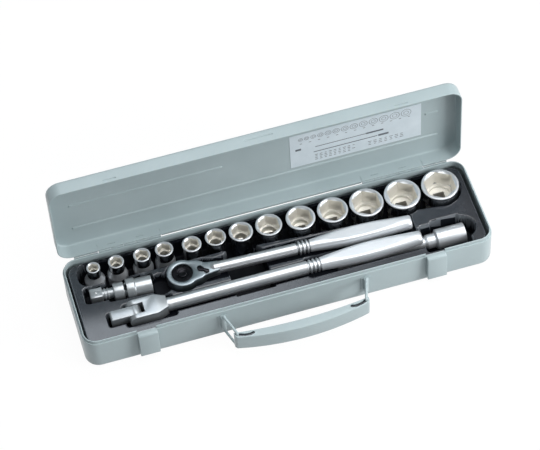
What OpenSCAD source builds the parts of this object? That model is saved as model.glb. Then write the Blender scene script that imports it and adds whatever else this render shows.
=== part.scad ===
/* [Case] */
// Length of the case, left to right
case_w = 468; // [464:1:500]
// Depth of the case, front to back
case_d = 116; // [114:1:130]
// Height of the tray's outer wall
tray_h = 42.5; // [41:0.5:50]
// Height of the joggled lip above the tray's wall
lip_h = 4; // [2:0.5:6]
// Height of the lid
lid_h = 18; // [16:0.5:30]
// Thickness of the steel sheet
sheet = 1.2; // [0.8:0.1:1.6]
// Radius of the upright corners
corner_r = 16; // [12:1:24]
// Radius of the pressed edges round the floor and the lid's top
edge_r = 4; // [2:0.5:6]
// Angle at which the open lid stands
lid_angle = 91; // [80:1:105]
// Gap between lid and tray, all round
lid_gap = 0.4; // [0.3:0.05:0.8]
// Radius of the hinge knuckles
knuckle_r = 2; // [1.8:0.1:2.6]
// Radius of the hinge pins
hinge_pin_r = 1; // [0.7:0.1:1.2]
// Length of each hinge
hinge_len = 72; // [50:1:90]
// Distance of each hinge from the middle of the case
hinge_x = 153; // [110:1:160]
// Width of the pressed ribs in the lid
rib_w = 5; // [3:0.5:8]
// Height of the pressed ribs in the lid
rib_h = 0.8; // [0.4:0.1:1]
// Length of the printed label
label_len = 152; // [100:1:160]
// Height of the printed label
label_w = 55; // [30:1:58]
// Thickness of the printed label
label_t = 0.3; // [0.2:0.1:0.6]

/* [Latches] */
// Width of a latch
latch_w = 22; // [16:1:30]
// Distance that a latch stands out from the tray's front wall
latch_out = 8; // [7:0.5:10]
// Height of a latch's lower edge above the floor
latch_low = 8; // [5:0.5:12]
// Distance from each end of the case to the middle of its latch
latch_inset = 69.5; // [54:0.5:110]
// Radius of a latch pin
latch_pin_r = 1.2; // [0.8:0.1:1.6]

/* [Carry handle] */
// Distance of each arm's pivot from the middle of the case
arm_x = 81.6; // [78:0.2:90]
// Distance from the case's middle to the handle's middle
handle_x = 1.7; // [0:0.1:3]
// Length of each wire arm from wall pivot to grip
arm_len = 27.6; // [27:0.1:28.2]
// Angle at which each arm leans inwards when the handle is out
arm_lean = 17.8; // [17:0.1:19]
// Height of the lower wire above the floor
arm_low = 11.5; // [10:0.5:14]
// Height of the upper wire above the floor
arm_high = 38.5; // [34:0.5:39]
// Radius of the arm wire
wire_r = 1.5; // [1:0.1:2]
// Distance that the grip's front bows out in the middle
grip_bow = 9.7; // [9.5:0.1:12]
// Distance that the grip's back edge bows out in the middle
grip_back_bow = 5.3; // [4:0.1:5.4]
// Depth of the grip at its two ends
grip_flange = 6.5; // [6.4:0.1:9]

/* [Insert] */
// Height of the insert's top face above the floor
insert_top = 37; // [35:0.5:40]
// Gap between the insert and the tray's front, left and right lip
insert_gap = 2.7; // [1.5:0.1:5]
// Gap between a tool and the pocket wall beside it
pocket_gap = 2; // [1.6:0.1:3]
// Gap between a tool and the seat under it
seat_gap = 0.25; // [0.1:0.05:0.5]
// Height of the floor of the finger recesses
recess_floor = 10; // [6:0.5:14]

/* [Sockets] */
// Width across flats of each hex opening, smallest first
socket_af = [10, 12, 13, 14, 15, 17, 19, 22, 24, 26, 29, 30, 32]; // [8 to 36 each]
// Outer diameter of each socket at its hex end
socket_od = [15.1, 17.7, 19.1, 20.4, 21.8, 23.4, 27.1, 30, 33.3, 34.8, 38.6, 41.3, 42.5]; // [15 to 45 each]
// Outer diameter of each socket at its drive end
socket_base = [23, 23, 23, 23, 22, 22, 24, 26, 28, 28, 30, 32, 32]; // [20 to 34 each]
// Gap between each socket and the next, left to right, before they are spread to fill the case
socket_gaps = [3, 6.5, 2.5, 8.4, 4.9, 3.7, 3.5, 4.8, 3, 2.3, 1.7, 2.4]; // [1.5 to 9 each]
// Length of a socket
socket_len = 38.5; // [34:0.5:45]
// Distance between the insert's rear face and the back of each socket
socket_backs = [3, 3, 3, 3, 6.3, 4.7, 4.2, 3.5, 3.5, 3.5, 3.5, 3.5, 3.5]; // [3 to 7 each]
// Width across flats of the square drive
drive = 12.7; // [12.5:0.05:12.9]
// Gap all round between a square drive and its square hole
drive_gap = 0.1; // [0.05:0.01:0.2]

/* [Ratchet handle] */
// Radius of the ratchet's head
head_r = 17.5; // [16.5:0.5:20]
// Thickness of the ratchet's head without its cover plate
head_t = 14.5; // [13:0.5:18]
// Distance from the head's centre to the end of the grip
ratchet_len = 262; // [240:1:265]
// Radius of the ratchet's shank
shank_r = 6.7; // [5.5:0.1:7]
// Radius of the drive rotor's visible face
rotor_r = 11.2; // [10.5:0.1:11.6]
// Angle between the ratchet and the long axis of the case
ratchet_turn = -1.8; // [-2:0.1:-1.5]
// Swing of the reversing lever, half to each side
lever_swing = 78; // [60:2:90]

/* [Grips of the two handles] */
// Height of the handles' axes above the floor
handle_z = 38; // [37.5:0.1:40]
// Half width of each grip at its widest
grip_half_w = 11; // [9:0.1:11.5]
// Half thickness of each grip
grip_half_t = 7.5; // [6.5:0.1:7.6]
// Half width of each grip at its end
grip_end_r = 7.8; // [7:0.1:9]
// Length of each grip
grip_len = 117; // [100:1:120]

/* [Flex handle] */
// Length of the case beyond the flex handle, which runs from its pivot to the end of its grip
flex_room = 140; // [138:1:148]
// Radius of the flex handle's shaft
flex_shaft_r = 7.5; // [6:0.1:7.6]
// Width of the fork
fork_w = 24.6; // [22:0.2:26]
// Half height of the fork
fork_half_h = 8.3; // [7.5:0.1:8.5]
// Radius of the pivot pin
pivot_pin_r = 2.6; // [2:0.1:3]
// Length of the square tip from the pivot
tip_len = 28; // [24:0.5:29]

/* [Universal joint] */
// Radius of the band round the pivot
band_r = 12; // [11.5:0.1:12.5]
// Radius of the joint's two round ends
joint_r = 10.3; // [10:0.1:10.6]
// Length from the pivot to the socket end
joint_socket_len = 24; // [20:0.5:26]
// Length from the pivot to the square end
joint_square_len = 45.3; // [42:0.1:47]
// Height of the joint's axis above the floor
joint_z = 33; // [32:0.5:35]

/* [Extension bar] */
// Overall length of the extension bar
ext_len = 150; // [140:1:150]
// Radius of the extension bar's socket end
ext_end_r = 11.5; // [10.5:0.1:12]
// Radius of the extension bar's shaft
ext_shaft_r = 6.3; // [5.5:0.1:6.4]
// Length of the extension bar's square
ext_square_len = 14; // [12:0.5:16]
// Length of the extension bar's socket end
ext_head = 33; // [28:0.5:36]
// Gap between the bar and the grip that lies over it
ext_gap = 0.65; // [0.4:0.05:1]

/* [Hidden] */
$fn = 48;
steel = [0.80, 0.81, 0.83];
paint = [0.56, 0.62, 0.61];
black = [0.07, 0.07, 0.08];
eps = 0.01;
pin_gap = 0.05;

half_w = case_w / 2;
latch_x = half_w - latch_inset;
flex_len = case_w - flex_room;
half_d = case_d / 2;
lip_top = tray_h + lip_h;
lip_inset = sheet + lid_gap;
lid_low = tray_h + lid_gap;
lid_top = lid_low + lid_h;
hinge_y = half_d + knuckle_r + 0.1;
hinge_z = tray_h + lid_gap / 2;
knuckles = 5;
knuckle_len = hinge_len / knuckles;
front_y = -half_d;

// Solid of revolution profile: a block with a rounded lower corner
module corner_profile(w, h, r) {
  translate([0, r]) square([w, h - r]);
  square([w - r, h]);
  translate([w - r, r]) intersection() {
    circle(r);
    translate([0, -r]) square(r);
  }
}

// Block with upright corners of radius r and its lower edge rounded to e
module tub(w, d, h, r, e) {
  for (sx = [-1, 1], sy = [-1, 1])
    translate([sx * (w / 2 - r), sy * (d / 2 - r), 0]) rotate_extrude() corner_profile(r, h, e);
  for (s = [0, 1]) {
    along = s == 0 ? w - 2 * r : d - 2 * r;
    across = s == 0 ? d / 2 : w / 2;
    rotate([90, 0, 90 * (1 - s)]) translate([0, 0, -along / 2]) linear_extrude(along) {
      corner_profile(across, h, e);
      mirror([1, 0]) corner_profile(across, h, e);
    }
  }
}

// Flat block with rounded upright corners
module slab(w, d, h, r) {
  linear_extrude(h) {
    square([w - 2 * r, d], center = true);
    square([w, d - 2 * r], center = true);
    for (sx = [-1, 1], sy = [-1, 1]) translate([sx * (w / 2 - r), sy * (d / 2 - r)]) circle(r);
  }
}

// Flat bar with round ends from x0 to x1, centred on y
module bar(x0, x1, y, w, h) {
  translate([x0 + w / 2, y - w / 2, 0]) cube([x1 - x0 - w, w, h]);
  for (x = [x0 + w / 2, x1 - w / 2]) translate([x, y, 0]) cylinder(d = w, h = h);
}

// Hinge knuckles of one half: odd ones on the tray, even ones on the lid
module knuckle_row(first, leaf_z) {
  for (s = [-1, 1], k = [first:2:knuckles - 1]) {
    x = s * hinge_x - hinge_len / 2 + k * knuckle_len + 0.2;
    translate([x, hinge_y, hinge_z]) rotate([0, 90, 0]) difference() {
      cylinder(r = knuckle_r, h = knuckle_len - 0.4);
      translate([0, 0, -1]) cylinder(r = hinge_pin_r + pin_gap, h = knuckle_len + 2);
    }
    translate([x, half_d - sheet / 2, hinge_z + leaf_z]) difference() {
      cube([knuckle_len - 0.4, hinge_y - half_d + sheet / 2, sheet * 0.7]);
      translate([-1, hinge_y - half_d + sheet / 2, -leaf_z]) rotate([0, 90, 0])
        cylinder(r = hinge_pin_r + pin_gap, h = knuckle_len + 2);
    }
  }
}

// Room for the other half's knuckles
module knuckle_room(first) {
  for (s = [-1, 1], k = [first:2:knuckles - 1])
    translate([s * hinge_x - hinge_len / 2 + k * knuckle_len - 0.2, hinge_y, hinge_z])
      rotate([0, 90, 0]) cylinder(r = knuckle_r + 0.5, h = knuckle_len + 0.4);
}

// Latch ears and the pin's place
ear_r = latch_pin_r + 0.8;
ear_gap = 0.4;
latch_pin_y = front_y - latch_out + sheet + ear_r + ear_gap;
latch_pin_z = latch_low + 4;
latch_top = tray_h + 3;
latch_gap = 1;
ear_t = 1.6;
ear_x = latch_w / 2 - sheet - ear_gap - ear_t;

module latch_ears(x) {
  for (s = [-1, 1]) translate([x + s * (ear_x + ear_t / 2) - ear_t / 2, 0, 0]) rotate([90, 0, 90])
    linear_extrude(ear_t) difference() {
      union() {
        translate([latch_pin_y, latch_pin_z]) circle(ear_r);
        translate([latch_pin_y, latch_pin_z - ear_r]) square([front_y - latch_pin_y + sheet / 2, 2 * ear_r]);
      }
      translate([latch_pin_y, latch_pin_z]) circle(latch_pin_r + pin_gap);
    }
}

// Notch in the lip behind each latch, for the lid's pressed catch
module lip_notches() {
  for (s = [-1, 1]) translate([s * latch_x - latch_w / 2, front_y - 1, tray_h])
    cube([latch_w, 1 + 3 * sheet + lid_gap, lip_h + 1]);
}

module tray() {
  color(paint) difference() {
    union() {
      tub(case_w, case_d, tray_h, corner_r, edge_r);
      translate([0, 0, tray_h - 4])
        slab(case_w - 2 * lip_inset, case_d - 2 * lip_inset, lip_h + 4, corner_r - lip_inset);
      knuckle_row(0, -knuckle_r);
      for (s = [-1, 1]) latch_ears(s * latch_x);
    }
    translate([0, 0, sheet])
      tub(case_w - 2 * sheet, case_d - 2 * sheet, tray_h - 4 - sheet, corner_r - sheet, edge_r - sheet);
    translate([0, 0, edge_r])
      slab(case_w - 2 * (lip_inset + sheet), case_d - 2 * (lip_inset + sheet), case_d, corner_r - lip_inset - sheet);
    lip_notches();
    knuckle_room(1);
  }
}

rib_low_y = half_d - 30;
rib_high_y = half_d - 70;
rib_end = half_w - 22;
label_x = rib_end - 20 - label_len / 2;
label_y = rib_low_y - rib_w / 2 - 3.5 - label_w / 2;

// Pressed ribs: raised inside, sunk outside
module lid_ribs(w, h) {
  bar(-rib_end, rib_end, rib_low_y, w, h);
  bar(-rib_end, label_x - label_len / 2 - 77, rib_high_y, w, h);
  bar(label_x + label_len / 2 + 4, rib_end, rib_high_y, w, h);
}

// Pressed catches along the lid's front wall: x, length and height above the rim
catches = [[-latch_x, 16, 3.4], [3.4, 34, 8], [latch_x, 16, 3.4]];
module lid_catches(w, h) {
  for (c = catches) translate([c[0], front_y, lid_low + c[2]]) rotate([-90, 0, 0])
    bar(-c[1] / 2, c[1] / 2, 0, w, h);
}

module lid_closed() {
  difference() {
    union() {
      difference() {
        translate([0, 0, lid_top]) mirror([0, 0, 1]) tub(case_w, case_d, lid_h, corner_r, edge_r);
        translate([0, 0, lid_top - sheet]) mirror([0, 0, 1])
          tub(case_w - 2 * sheet, case_d - 2 * sheet, lid_h, corner_r - sheet, edge_r - sheet);
      }
      translate([0, 0, lid_top - sheet - rib_h]) lid_ribs(rib_w, rib_h + sheet / 2);
      translate([0, sheet / 2, 0]) lid_catches(2.6, sheet / 2 + 0.9);
      knuckle_row(1, knuckle_r - sheet * 0.7);
    }
    translate([0, 0, lid_top - rib_h]) lid_ribs(rib_w - 2, rib_h + 1);
    translate([0, -1, 0]) lid_catches(1.6, 1 + 0.8);
    knuckle_room(0);
  }
}

// Turns a closed-lid shape up to where the lid stands open
module opened() {
  translate([0, hinge_y, hinge_z]) rotate([-lid_angle, 0, 0]) translate([0, -hinge_y, -hinge_z]) children();
}

module lid() {
  color(paint) opened() lid_closed();
}

module label() {
  color([0.8, 0.86, 0.9]) opened()
    translate([label_x - label_len / 2, label_y - label_w / 2, lid_top - sheet - label_t])
      cube([label_len, label_w, label_t]);
}

module hinge_pins() {
  color(steel) for (s = [-1, 1])
    translate([s * hinge_x - hinge_len / 2 + 0.3, hinge_y, hinge_z]) rotate([0, 90, 0])
      cylinder(r = hinge_pin_r, h = hinge_len - 0.6);
}

// A latch: pressed cover with a nose along its upper edge
module latch(x) {
  color(paint) translate([x, 0, 0]) difference() {
    union() {
      difference() {
        rotate([90, 0, 90]) translate([0, 0, -latch_w / 2]) linear_extrude(latch_w) latch_outline();
        rotate([90, 0, 90]) translate([0, 0, -latch_w / 2 + sheet]) linear_extrude(latch_w - 2 * sheet)
          latch_room();
      }
      translate([-8, front_y - 1.6, latch_top - sheet]) cube([16, 1.2, sheet]);
    }
    translate([-latch_w, latch_pin_y, latch_pin_z]) rotate([0, 90, 0])
      cylinder(r = latch_pin_r + pin_gap, h = 2 * latch_w);
  }
}

module latch_outline() {
  polygon([
    [front_y - latch_gap, latch_low + 2], [front_y - latch_out + 2, latch_low], [front_y - latch_out, latch_low + 2],
    [front_y - latch_out + 1.5, latch_top - 1.5], [front_y - latch_out + 3, latch_top], [front_y - latch_gap, latch_top]
  ]);
}

module latch_room() {
  polygon([
    [front_y + 1, latch_low - 2], [front_y - latch_out + 3.4, latch_low - 2],
    [front_y - latch_out + sheet, latch_low + 2.4],
    [front_y - latch_out + 1.5 + sheet, latch_top - 1.5 - sheet], [front_y - latch_gap - 1.2, latch_top - sheet],
    [front_y + 1, latch_top - sheet]
  ]);
}

module latch_left() latch(-latch_x);
module latch_right() latch(latch_x);

module latch_pins() {
  color(steel) for (s = [-1, 1])
    translate([s * latch_x - latch_w / 2 + 0.1, latch_pin_y, latch_pin_z]) rotate([0, 90, 0])
      cylinder(r = latch_pin_r, h = latch_w - 0.2);
}

// Torsion springs, each a sleeve of close coils round its pin
spring_len = 2 * ear_x - 1;
module latch_springs() {
  color(steel) for (s = [-1, 1])
    translate([s * latch_x, latch_pin_y, latch_pin_z]) rotate([0, 90, 0]) difference() {
      cylinder(r = ear_r, h = spring_len, center = true);
      cylinder(r = latch_pin_r + 0.2, h = spring_len + 2, center = true);
    }
}

// Carry handle
arm_y = front_y - wire_r - 1.8;
pin_y = arm_y - arm_len * cos(arm_lean);
pin_x = arm_x - arm_len * sin(arm_lean);
arm_fold = 50;
grip_travel = 18.3;
grip_low = arm_low + wire_r + 0.4;
grip_high = arm_high - wire_r - 0.4;
grip_half_x = pin_x + 3.5;
slot_w = 2 * wire_r + 1.1;
grip_back = pin_y + slot_w / 2 + 1.25;
skin_y = grip_back - grip_flange;
skin_mid = skin_y - grip_bow;
bow_r = (grip_half_x * grip_half_x + grip_bow * grip_bow) / (2 * grip_bow);
back_r = (grip_half_x * grip_half_x + grip_back_bow * grip_back_bow) / (2 * grip_back_bow);

// Place of a wire's end in the grip's slot when the arms have turned by a
function slot_at(a) = [
  arm_x - arm_len * sin(arm_lean + a),
  pin_y + arm_len * (cos(arm_lean) - cos(arm_lean + a)) - grip_travel * a / arm_fold
];

// Front outline of the grip, bowed, with its two corners cut off
module grip_plan(inset) {
  half = grip_half_x - inset;
  reach = skin_mid - 1;
  intersection() {
    translate([0, skin_mid + bow_r]) circle(bow_r - inset, $fn = 200);
    polygon([
      [-half, 0], [-half, pin_y - 0.6], [-half + 3, pin_y - 4.9], [-half + 3, reach],
      [half - 3, reach], [half - 3, pin_y - 4.9], [half, pin_y - 0.6], [half, 0]
    ]);
  }
}

module grip_slot() {
  steps = 5;
  polygon([
    for (k = [0:steps]) slot_at(k * arm_fold / steps) + [0, slot_w / 2],
    for (k = [steps:-1:0]) slot_at(k * arm_fold / steps) - [0, slot_w / 2]
  ]);
  for (a = [0, arm_fold]) translate(slot_at(a)) circle(slot_w / 2);
}

module handle_grip() {
  color(paint) translate([handle_x, 0, 0]) difference() {
    translate([0, 0, grip_low]) linear_extrude(grip_high - grip_low) difference() {
      grip_plan(0);
      translate([0, grip_back - grip_back_bow + back_r]) circle(back_r, $fn = 200);
    }
    translate([0, 0, grip_low + sheet]) linear_extrude(grip_high - grip_low - 2 * sheet) grip_plan(sheet);
    translate([0, 0, grip_low - 1]) linear_extrude(grip_high - grip_low + 2) {
      grip_slot();
      mirror([1, 0]) grip_slot();
    }
  }
}

// One wire arm: upright leg at the wall, two reaching legs, two turned-in ends
module wire_arm() {
  turn_in = 4.5;
  translate([0, 0, arm_low]) cylinder(r = wire_r, h = arm_high - arm_low);
  for (z = [arm_low, arm_high]) {
    translate([0, 0, z]) sphere(wire_r);
    translate([0, 0, z]) rotate([0, 90, 0]) cylinder(r = wire_r, h = arm_len);
    translate([arm_len, 0, z]) sphere(wire_r);
  }
  translate([arm_len, 0, arm_high - turn_in]) cylinder(r = wire_r, h = turn_in);
  translate([arm_len, 0, arm_low]) cylinder(r = wire_r, h = turn_in);
}

module handle_arm_left() {
  color(paint) translate([handle_x - arm_x, arm_y, 0]) rotate([0, 0, arm_lean - 90]) wire_arm();
}

module handle_arm_right() {
  color(paint) translate([handle_x + arm_x, arm_y, 0]) rotate([0, 0, -90 - arm_lean]) wire_arm();
}

// Wall brackets that carry the arms' upright legs
bracket_r = wire_r + 1.1;
bracket_low = arm_low + wire_r + 1;
bracket_h = arm_high - arm_low - 2 * wire_r - 2;
module handle_brackets() {
  color(paint) for (s = [-1, 1]) translate([handle_x + s * arm_x, 0, bracket_low]) linear_extrude(bracket_h)
    difference() {
      union() {
        translate([0, arm_y]) circle(bracket_r);
        translate([-bracket_r, arm_y]) square([2 * bracket_r, front_y - arm_y]);
        translate([-bracket_r - 3, front_y - 0.8]) square([2 * bracket_r + 6, 0.8]);
      }
      translate([0, arm_y]) circle(wire_r + pin_gap);
    }
}

insert_half_w = half_w - lip_inset - sheet - insert_gap;
insert_front = front_y + lip_inset + sheet + insert_gap;
insert_rear = half_d - lip_inset - sheet - 0.7;
insert_low = sheet + 0.1;

// Sockets
insert_floor = 7;
socket_room = 1.4;
socket_z = insert_floor + seat_gap;
row_left = 17;
row_right = 8.3;
last = len(socket_af) - 1;
function total(v, i = 0) = i >= len(v) ? 0 : v[i] + total(v, i + 1);
function socket_r(i) = max(socket_od[i], socket_base[i]) / 2;
row_free = 2 * insert_half_w - row_left - row_right - 2 * total([for (i = [0:last]) socket_r(i)]);
spread = row_free / total(socket_gaps);
function socket_x(i) = i == 0 ? -insert_half_w + row_left + socket_r(0)
  : socket_x(i - 1) + socket_r(i - 1) + spread * socket_gaps[i - 1] + socket_r(i);
function socket_y(i) = insert_rear - socket_backs[i] - socket_r(i);

// One socket standing on its drive end
module socket(i) {
  af = socket_af[i];
  r_top = socket_od[i] / 2;
  r_base = socket_base[i] / 2;
  base_h = socket_len * 0.42;
  cone_h = r_base > r_top + 0.5 ? 9 : max(0.8, abs(r_top - r_base));
  hex_depth = min(socket_len * 0.55, af * 0.55 + 4);
  square_h = 15;
  square_w = drive + 2 * drive_gap;
  color(steel) translate([socket_x(i), socket_y(i), socket_z]) difference() {
    union() {
      cylinder(r1 = r_base - 0.8, r2 = r_base, h = 0.8);
      translate([0, 0, 0.8]) cylinder(r = r_base, h = base_h - 0.8);
      translate([0, 0, base_h]) cylinder(r1 = r_base, r2 = r_top, h = cone_h);
      translate([0, 0, base_h + cone_h]) cylinder(r = r_top, h = socket_len - base_h - cone_h - 0.7);
      translate([0, 0, socket_len - 0.7]) cylinder(r1 = r_top, r2 = r_top - 0.7, h = 0.7);
    }
    translate([0, 0, socket_len - hex_depth]) cylinder(d = af / cos(30), h = hex_depth + 1, $fn = 6);
    translate([0, 0, socket_len - 1]) cylinder(d1 = af, d2 = af / cos(30) + 0.6, h = 1 + eps);
    translate([0, 0, square_h - 1]) cylinder(d = af * 0.82, h = socket_len);
    translate([-square_w / 2, -square_w / 2, -1]) cube([square_w, square_w, square_h + 1]);
  }
}

module socket_10() socket(0);
module socket_12() socket(1);
module socket_13() socket(2);
module socket_14() socket(3);
module socket_15() socket(4);
module socket_17() socket(5);
module socket_19() socket(6);
module socket_22() socket(7);
module socket_24() socket(8);
module socket_26() socket(9);
module socket_29() socket(10);
module socket_30() socket(11);
module socket_32() socket(12);

// Grip of either handle, from x = 0 along +X: round section with flats above and below
ball_r = 2;
ball_sink = 1.3;
ball_hole = ball_sink + ball_r + 0.2;
ring_pitch = 4.4;
ring_r = 8;
module tool_grip(start_r) {
  wide = grip_half_w;
  mid = grip_len * 0.45;
  neck_slope = wide - start_r;
  intersection() {
    rotate([90, 0, 90]) rotate_extrude() polygon([
      [0, 0], [start_r, 0], [start_r + neck_slope * 0.45, mid * 0.3], [start_r + neck_slope * 0.82, mid * 0.65],
      [wide, mid], [wide - 0.5, mid * 1.4], [grip_end_r, grip_len - 1.5], [grip_end_r - 1.5, grip_len], [0, grip_len]
    ]);
    translate([-1, -2 * wide, -grip_half_t]) cube([grip_len + 2, 4 * wide, 2 * grip_half_t]);
  }
}

module rings() {
  for (k = [0:2]) translate([k * ring_pitch, 0, 0]) rotate([0, 90, 0]) cylinder(r = ring_r, h = 2.4);
}

// Ratchet, head centred on the origin, grip along +X
ratchet_x = -half_w + 126;
ratchet_y = 4.2;
head_top = 6;
head_low = head_top - head_t;
cover_z = head_top - 2.4;
cover_t = 1.4;
lever_at = rotor_r + 8.8;
lever_reach = 9.4;
lever_r = 2.2;
lever_rest = -lever_swing / 2;
pawl_swing = lever_swing / 16;
shank_at = lever_at + lever_reach + lever_r + 1;
rotor_gap = 0.25;
square_len = 11;
plate_end = 25;
neck_drop = 1.2;
rod_r = 2;
button_r = 5;
ball_at = 6;
ratchet_grip_at = ratchet_len - grip_len;

module ratchet_place() {
  translate([ratchet_x, ratchet_y, handle_z]) rotate([0, 0, ratchet_turn]) children();
}

// Round head with its upper edge rounded off
module head_disc() {
  rotate_extrude() polygon([
    [0, head_low], [head_r - 1.5, head_low], [head_r, head_low + 1.5], [head_r, head_top - 2.3],
    [head_r - 0.7, head_top - 0.7], [head_r - 2.3, head_top], [0, head_top]
  ]);
}

// Neck between head and shank, narrowing in steps, cut off at reach
module neck_plan(reach) {
  intersection() {
    polygon([
      [0, head_r - 2.3], [12, 14], [18.8, 12.5], [23.5, 9.7], [33.5, 7.2], [42, 6],
      [42, -6], [33.5, -7.2], [23.5, -9.7], [18.8, -12.5], [12, -14], [0, -head_r + 2.3]
    ]);
    translate([0, -head_r]) square([reach, 2 * head_r]);
  }
}

module ratchet_handle() {
  color(steel) ratchet_place() difference() {
    union() {
      head_disc();
      translate([0, 0, head_low + 1.5]) linear_extrude(head_t - 1.5) neck_plan(plate_end);
      translate([0, 0, head_low + 1.5]) linear_extrude(head_t - 1.5 - neck_drop) neck_plan(50);
      translate([shank_at, 0, 0]) rotate([0, 90, 0]) cylinder(r = shank_r, h = ratchet_grip_at - shank_at + 2);
      translate([ratchet_grip_at - 3 * ring_pitch, 0, 0]) rings();
      translate([ratchet_grip_at, 0, 0]) tool_grip(shank_r);
    }
    translate([0, 0, head_low + 2]) cylinder(r = rotor_r, h = head_t);
    translate([0, 0, cover_z]) cylinder(r = rotor_r + 0.5, h = head_t);
    translate([0, 0, head_low - 1]) cylinder(r = rotor_r - 1.6, h = head_t);
    translate([lever_at - 12, -6.6, head_low + 2.6]) cube([16.5, 13.2, cover_z - 1 - head_low - 2.6]);
    translate([lever_at, 0, head_low + 1.2]) cylinder(r = rod_r + pin_gap, h = head_t);
  }
}

module ratchet_cover() {
  color(black) ratchet_place() translate([0, 0, cover_z + 0.05]) difference() {
    cylinder(r = rotor_r + 0.4, h = cover_t);
    translate([0, 0, -1]) cylinder(r = button_r + 0.2, h = cover_t + 2);
    translate([0, 0, cover_t - 0.5]) cylinder(r1 = 6.6, r2 = 7.2, h = 0.5 + eps);
  }
}

module ratchet_snap_ring() {
  color(black) ratchet_place() translate([0, 0, cover_z + cover_t + 0.1]) difference() {
    cylinder(r = rotor_r + 0.4, h = 0.6);
    translate([0, 0, -1]) cylinder(r = rotor_r - 0.6, h = 3);
    translate([-rotor_r - 2, -1, -1]) cube([4, 2, 3]);
  }
}

// Rotor: toothed ring with the square drive below
teeth = 36;
module ratchet_rotor() {
  rim = rotor_r - rotor_gap;
  low = head_low + 2.2;
  color(black) ratchet_place() difference() {
    union() {
      translate([0, 0, low]) linear_extrude(cover_z - 0.2 - low) polygon([
        for (k = [0:2 * teeth - 1]) let (r = k % 2 == 0 ? rim : rim - 0.9, a = k * 180 / teeth)
          [r * cos(a), r * sin(a)]
      ]);
      translate([0, 0, head_low - 0.6]) cylinder(r = rotor_r - 1.7, h = 4);
      translate([-drive / 2, -drive / 2, head_low - square_len]) cube([drive, drive, square_len]);
    }
    translate([0, 0, head_low - 7]) cylinder(r = rod_r + pin_gap, h = head_t + 10);
    translate([0, 0, cover_z - 4]) cylinder(r = button_r + pin_gap, h = 8);
    translate([0, 0, head_low - ball_at]) rotate([-90, 0, 0]) cylinder(r = ball_r + 0.1, h = drive);
  }
}

module ratchet_button() {
  color(black) ratchet_place() difference() {
    union() {
      translate([0, 0, cover_z - 1.6]) cylinder(r = button_r, h = 3.4);
      translate([0, 0, head_low - 3.4]) cylinder(r = rod_r, h = cover_z - head_low + 2);
    }
    translate([0, 0, cover_z + 9.6]) sphere(r = 8.6);
  }
}

module ratchet_ball() {
  color(steel) ratchet_place() translate([0, drive / 2 - ball_sink, head_low - ball_at]) sphere(r = ball_r);
}

module ratchet_lever() {
  color(black) ratchet_place() translate([lever_at, 0, 0]) rotate([0, 0, lever_rest]) {
    translate([0, 0, head_low + 1.4]) cylinder(r = rod_r, h = head_t - 1);
    translate([0, 0, head_top + 0.2]) linear_extrude(1.9) {
      circle(3.2);
      translate([0, -lever_r]) square([lever_reach, 2 * lever_r]);
      translate([lever_reach, 0]) circle(lever_r);
    }
  }
}

module ratchet_pawl() {
  low = head_low + 3;
  color(steel) ratchet_place() translate([lever_at, 0, low]) rotate([0, 0, -pawl_swing / 2])
    linear_extrude(cover_z - 1.4 - low) difference() {
      translate([-10, -5.2]) square([12.7, 10.4]);
      translate([-lever_at, 0]) circle(rotor_r + 0.6);
      circle(rod_r + 0.1);
    }
}

// Flex handle, pivot at the origin, shaft along +X
flex_x = -half_w + 64;
flex_y = -27.5;
flex_grip_at = flex_len - grip_len;
tongue_gap = 0.25;
fork_end_r = 8.2;
fork_slot = 10;

module flex_place() {
  translate([flex_x, flex_y, handle_z]) children();
}

module fork() {
  half = fork_w / 2;
  difference() {
    intersection() {
      translate([0, 0, -fork_half_h]) linear_extrude(2 * fork_half_h) polygon([
        [-fork_end_r - 1, -half], [26, -half], [35, -half + 5], [35, half - 5], [26, half], [-fork_end_r - 1, half]
      ]);
      rotate([90, 0, 0]) translate([0, 0, -half - 1]) linear_extrude(fork_w + 2) {
        circle(fork_end_r);
        translate([0, -fork_end_r]) square([6, 2 * fork_end_r]);
        polygon([[5, -fork_half_h + 0.1], [36, -fork_half_h + 0.1], [36, fork_half_h - 0.1], [5, fork_half_h - 0.1]]);
      }
    }
    slot_half = drive / 2 + tongue_gap;
    translate([-20, -slot_half, -fork_half_h - 1]) cube([20 + fork_slot, 2 * slot_half, 2 * fork_half_h + 2]);
    rotate([90, 0, 0]) cylinder(r = pivot_pin_r + pin_gap, h = 2 * fork_w, center = true);
  }
}

module flex_handle() {
  color(steel) flex_place() {
    fork();
    translate([34.9, 0, 0]) rotate([0, 90, 0]) cylinder(r1 = fork_half_h - 0.15, r2 = flex_shaft_r, h = 6);
    translate([40, 0, 0]) rotate([0, 90, 0]) cylinder(r = flex_shaft_r, h = flex_grip_at - 40 + 1);
    translate([flex_grip_at - 3 * ring_pitch, 0, 0]) rings();
    translate([flex_grip_at, 0, 0]) tool_grip(grip_half_t - 0.1);
  }
}

module flex_head() {
  tip = drive / 2;
  color(steel) flex_place() difference() {
    union() {
      translate([-tip_len + 1, -tip, -tip]) cube([tip_len - 1, drive, drive]);
      translate([-tip_len, -tip + 1, -tip + 1]) cube([2, drive - 2, drive - 2]);
      rotate([90, 0, 0]) cylinder(r = tip + 0.5, h = drive, center = true);
    }
    rotate([90, 0, 0]) cylinder(r = pivot_pin_r + pin_gap, h = drive + 2, center = true);
    translate([-tip_len + 9, 0, -tip]) cylinder(r = ball_r + 0.1, h = 2 * ball_hole, center = true);
  }
}

module flex_pin() {
  color(steel) flex_place() rotate([90, 0, 0]) cylinder(r = pivot_pin_r, h = fork_w - 0.4, center = true);
}

module flex_ball() {
  color(steel) flex_place() translate([-tip_len + 9, 0, -drive / 2 + ball_sink]) sphere(r = ball_r);
}

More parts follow.
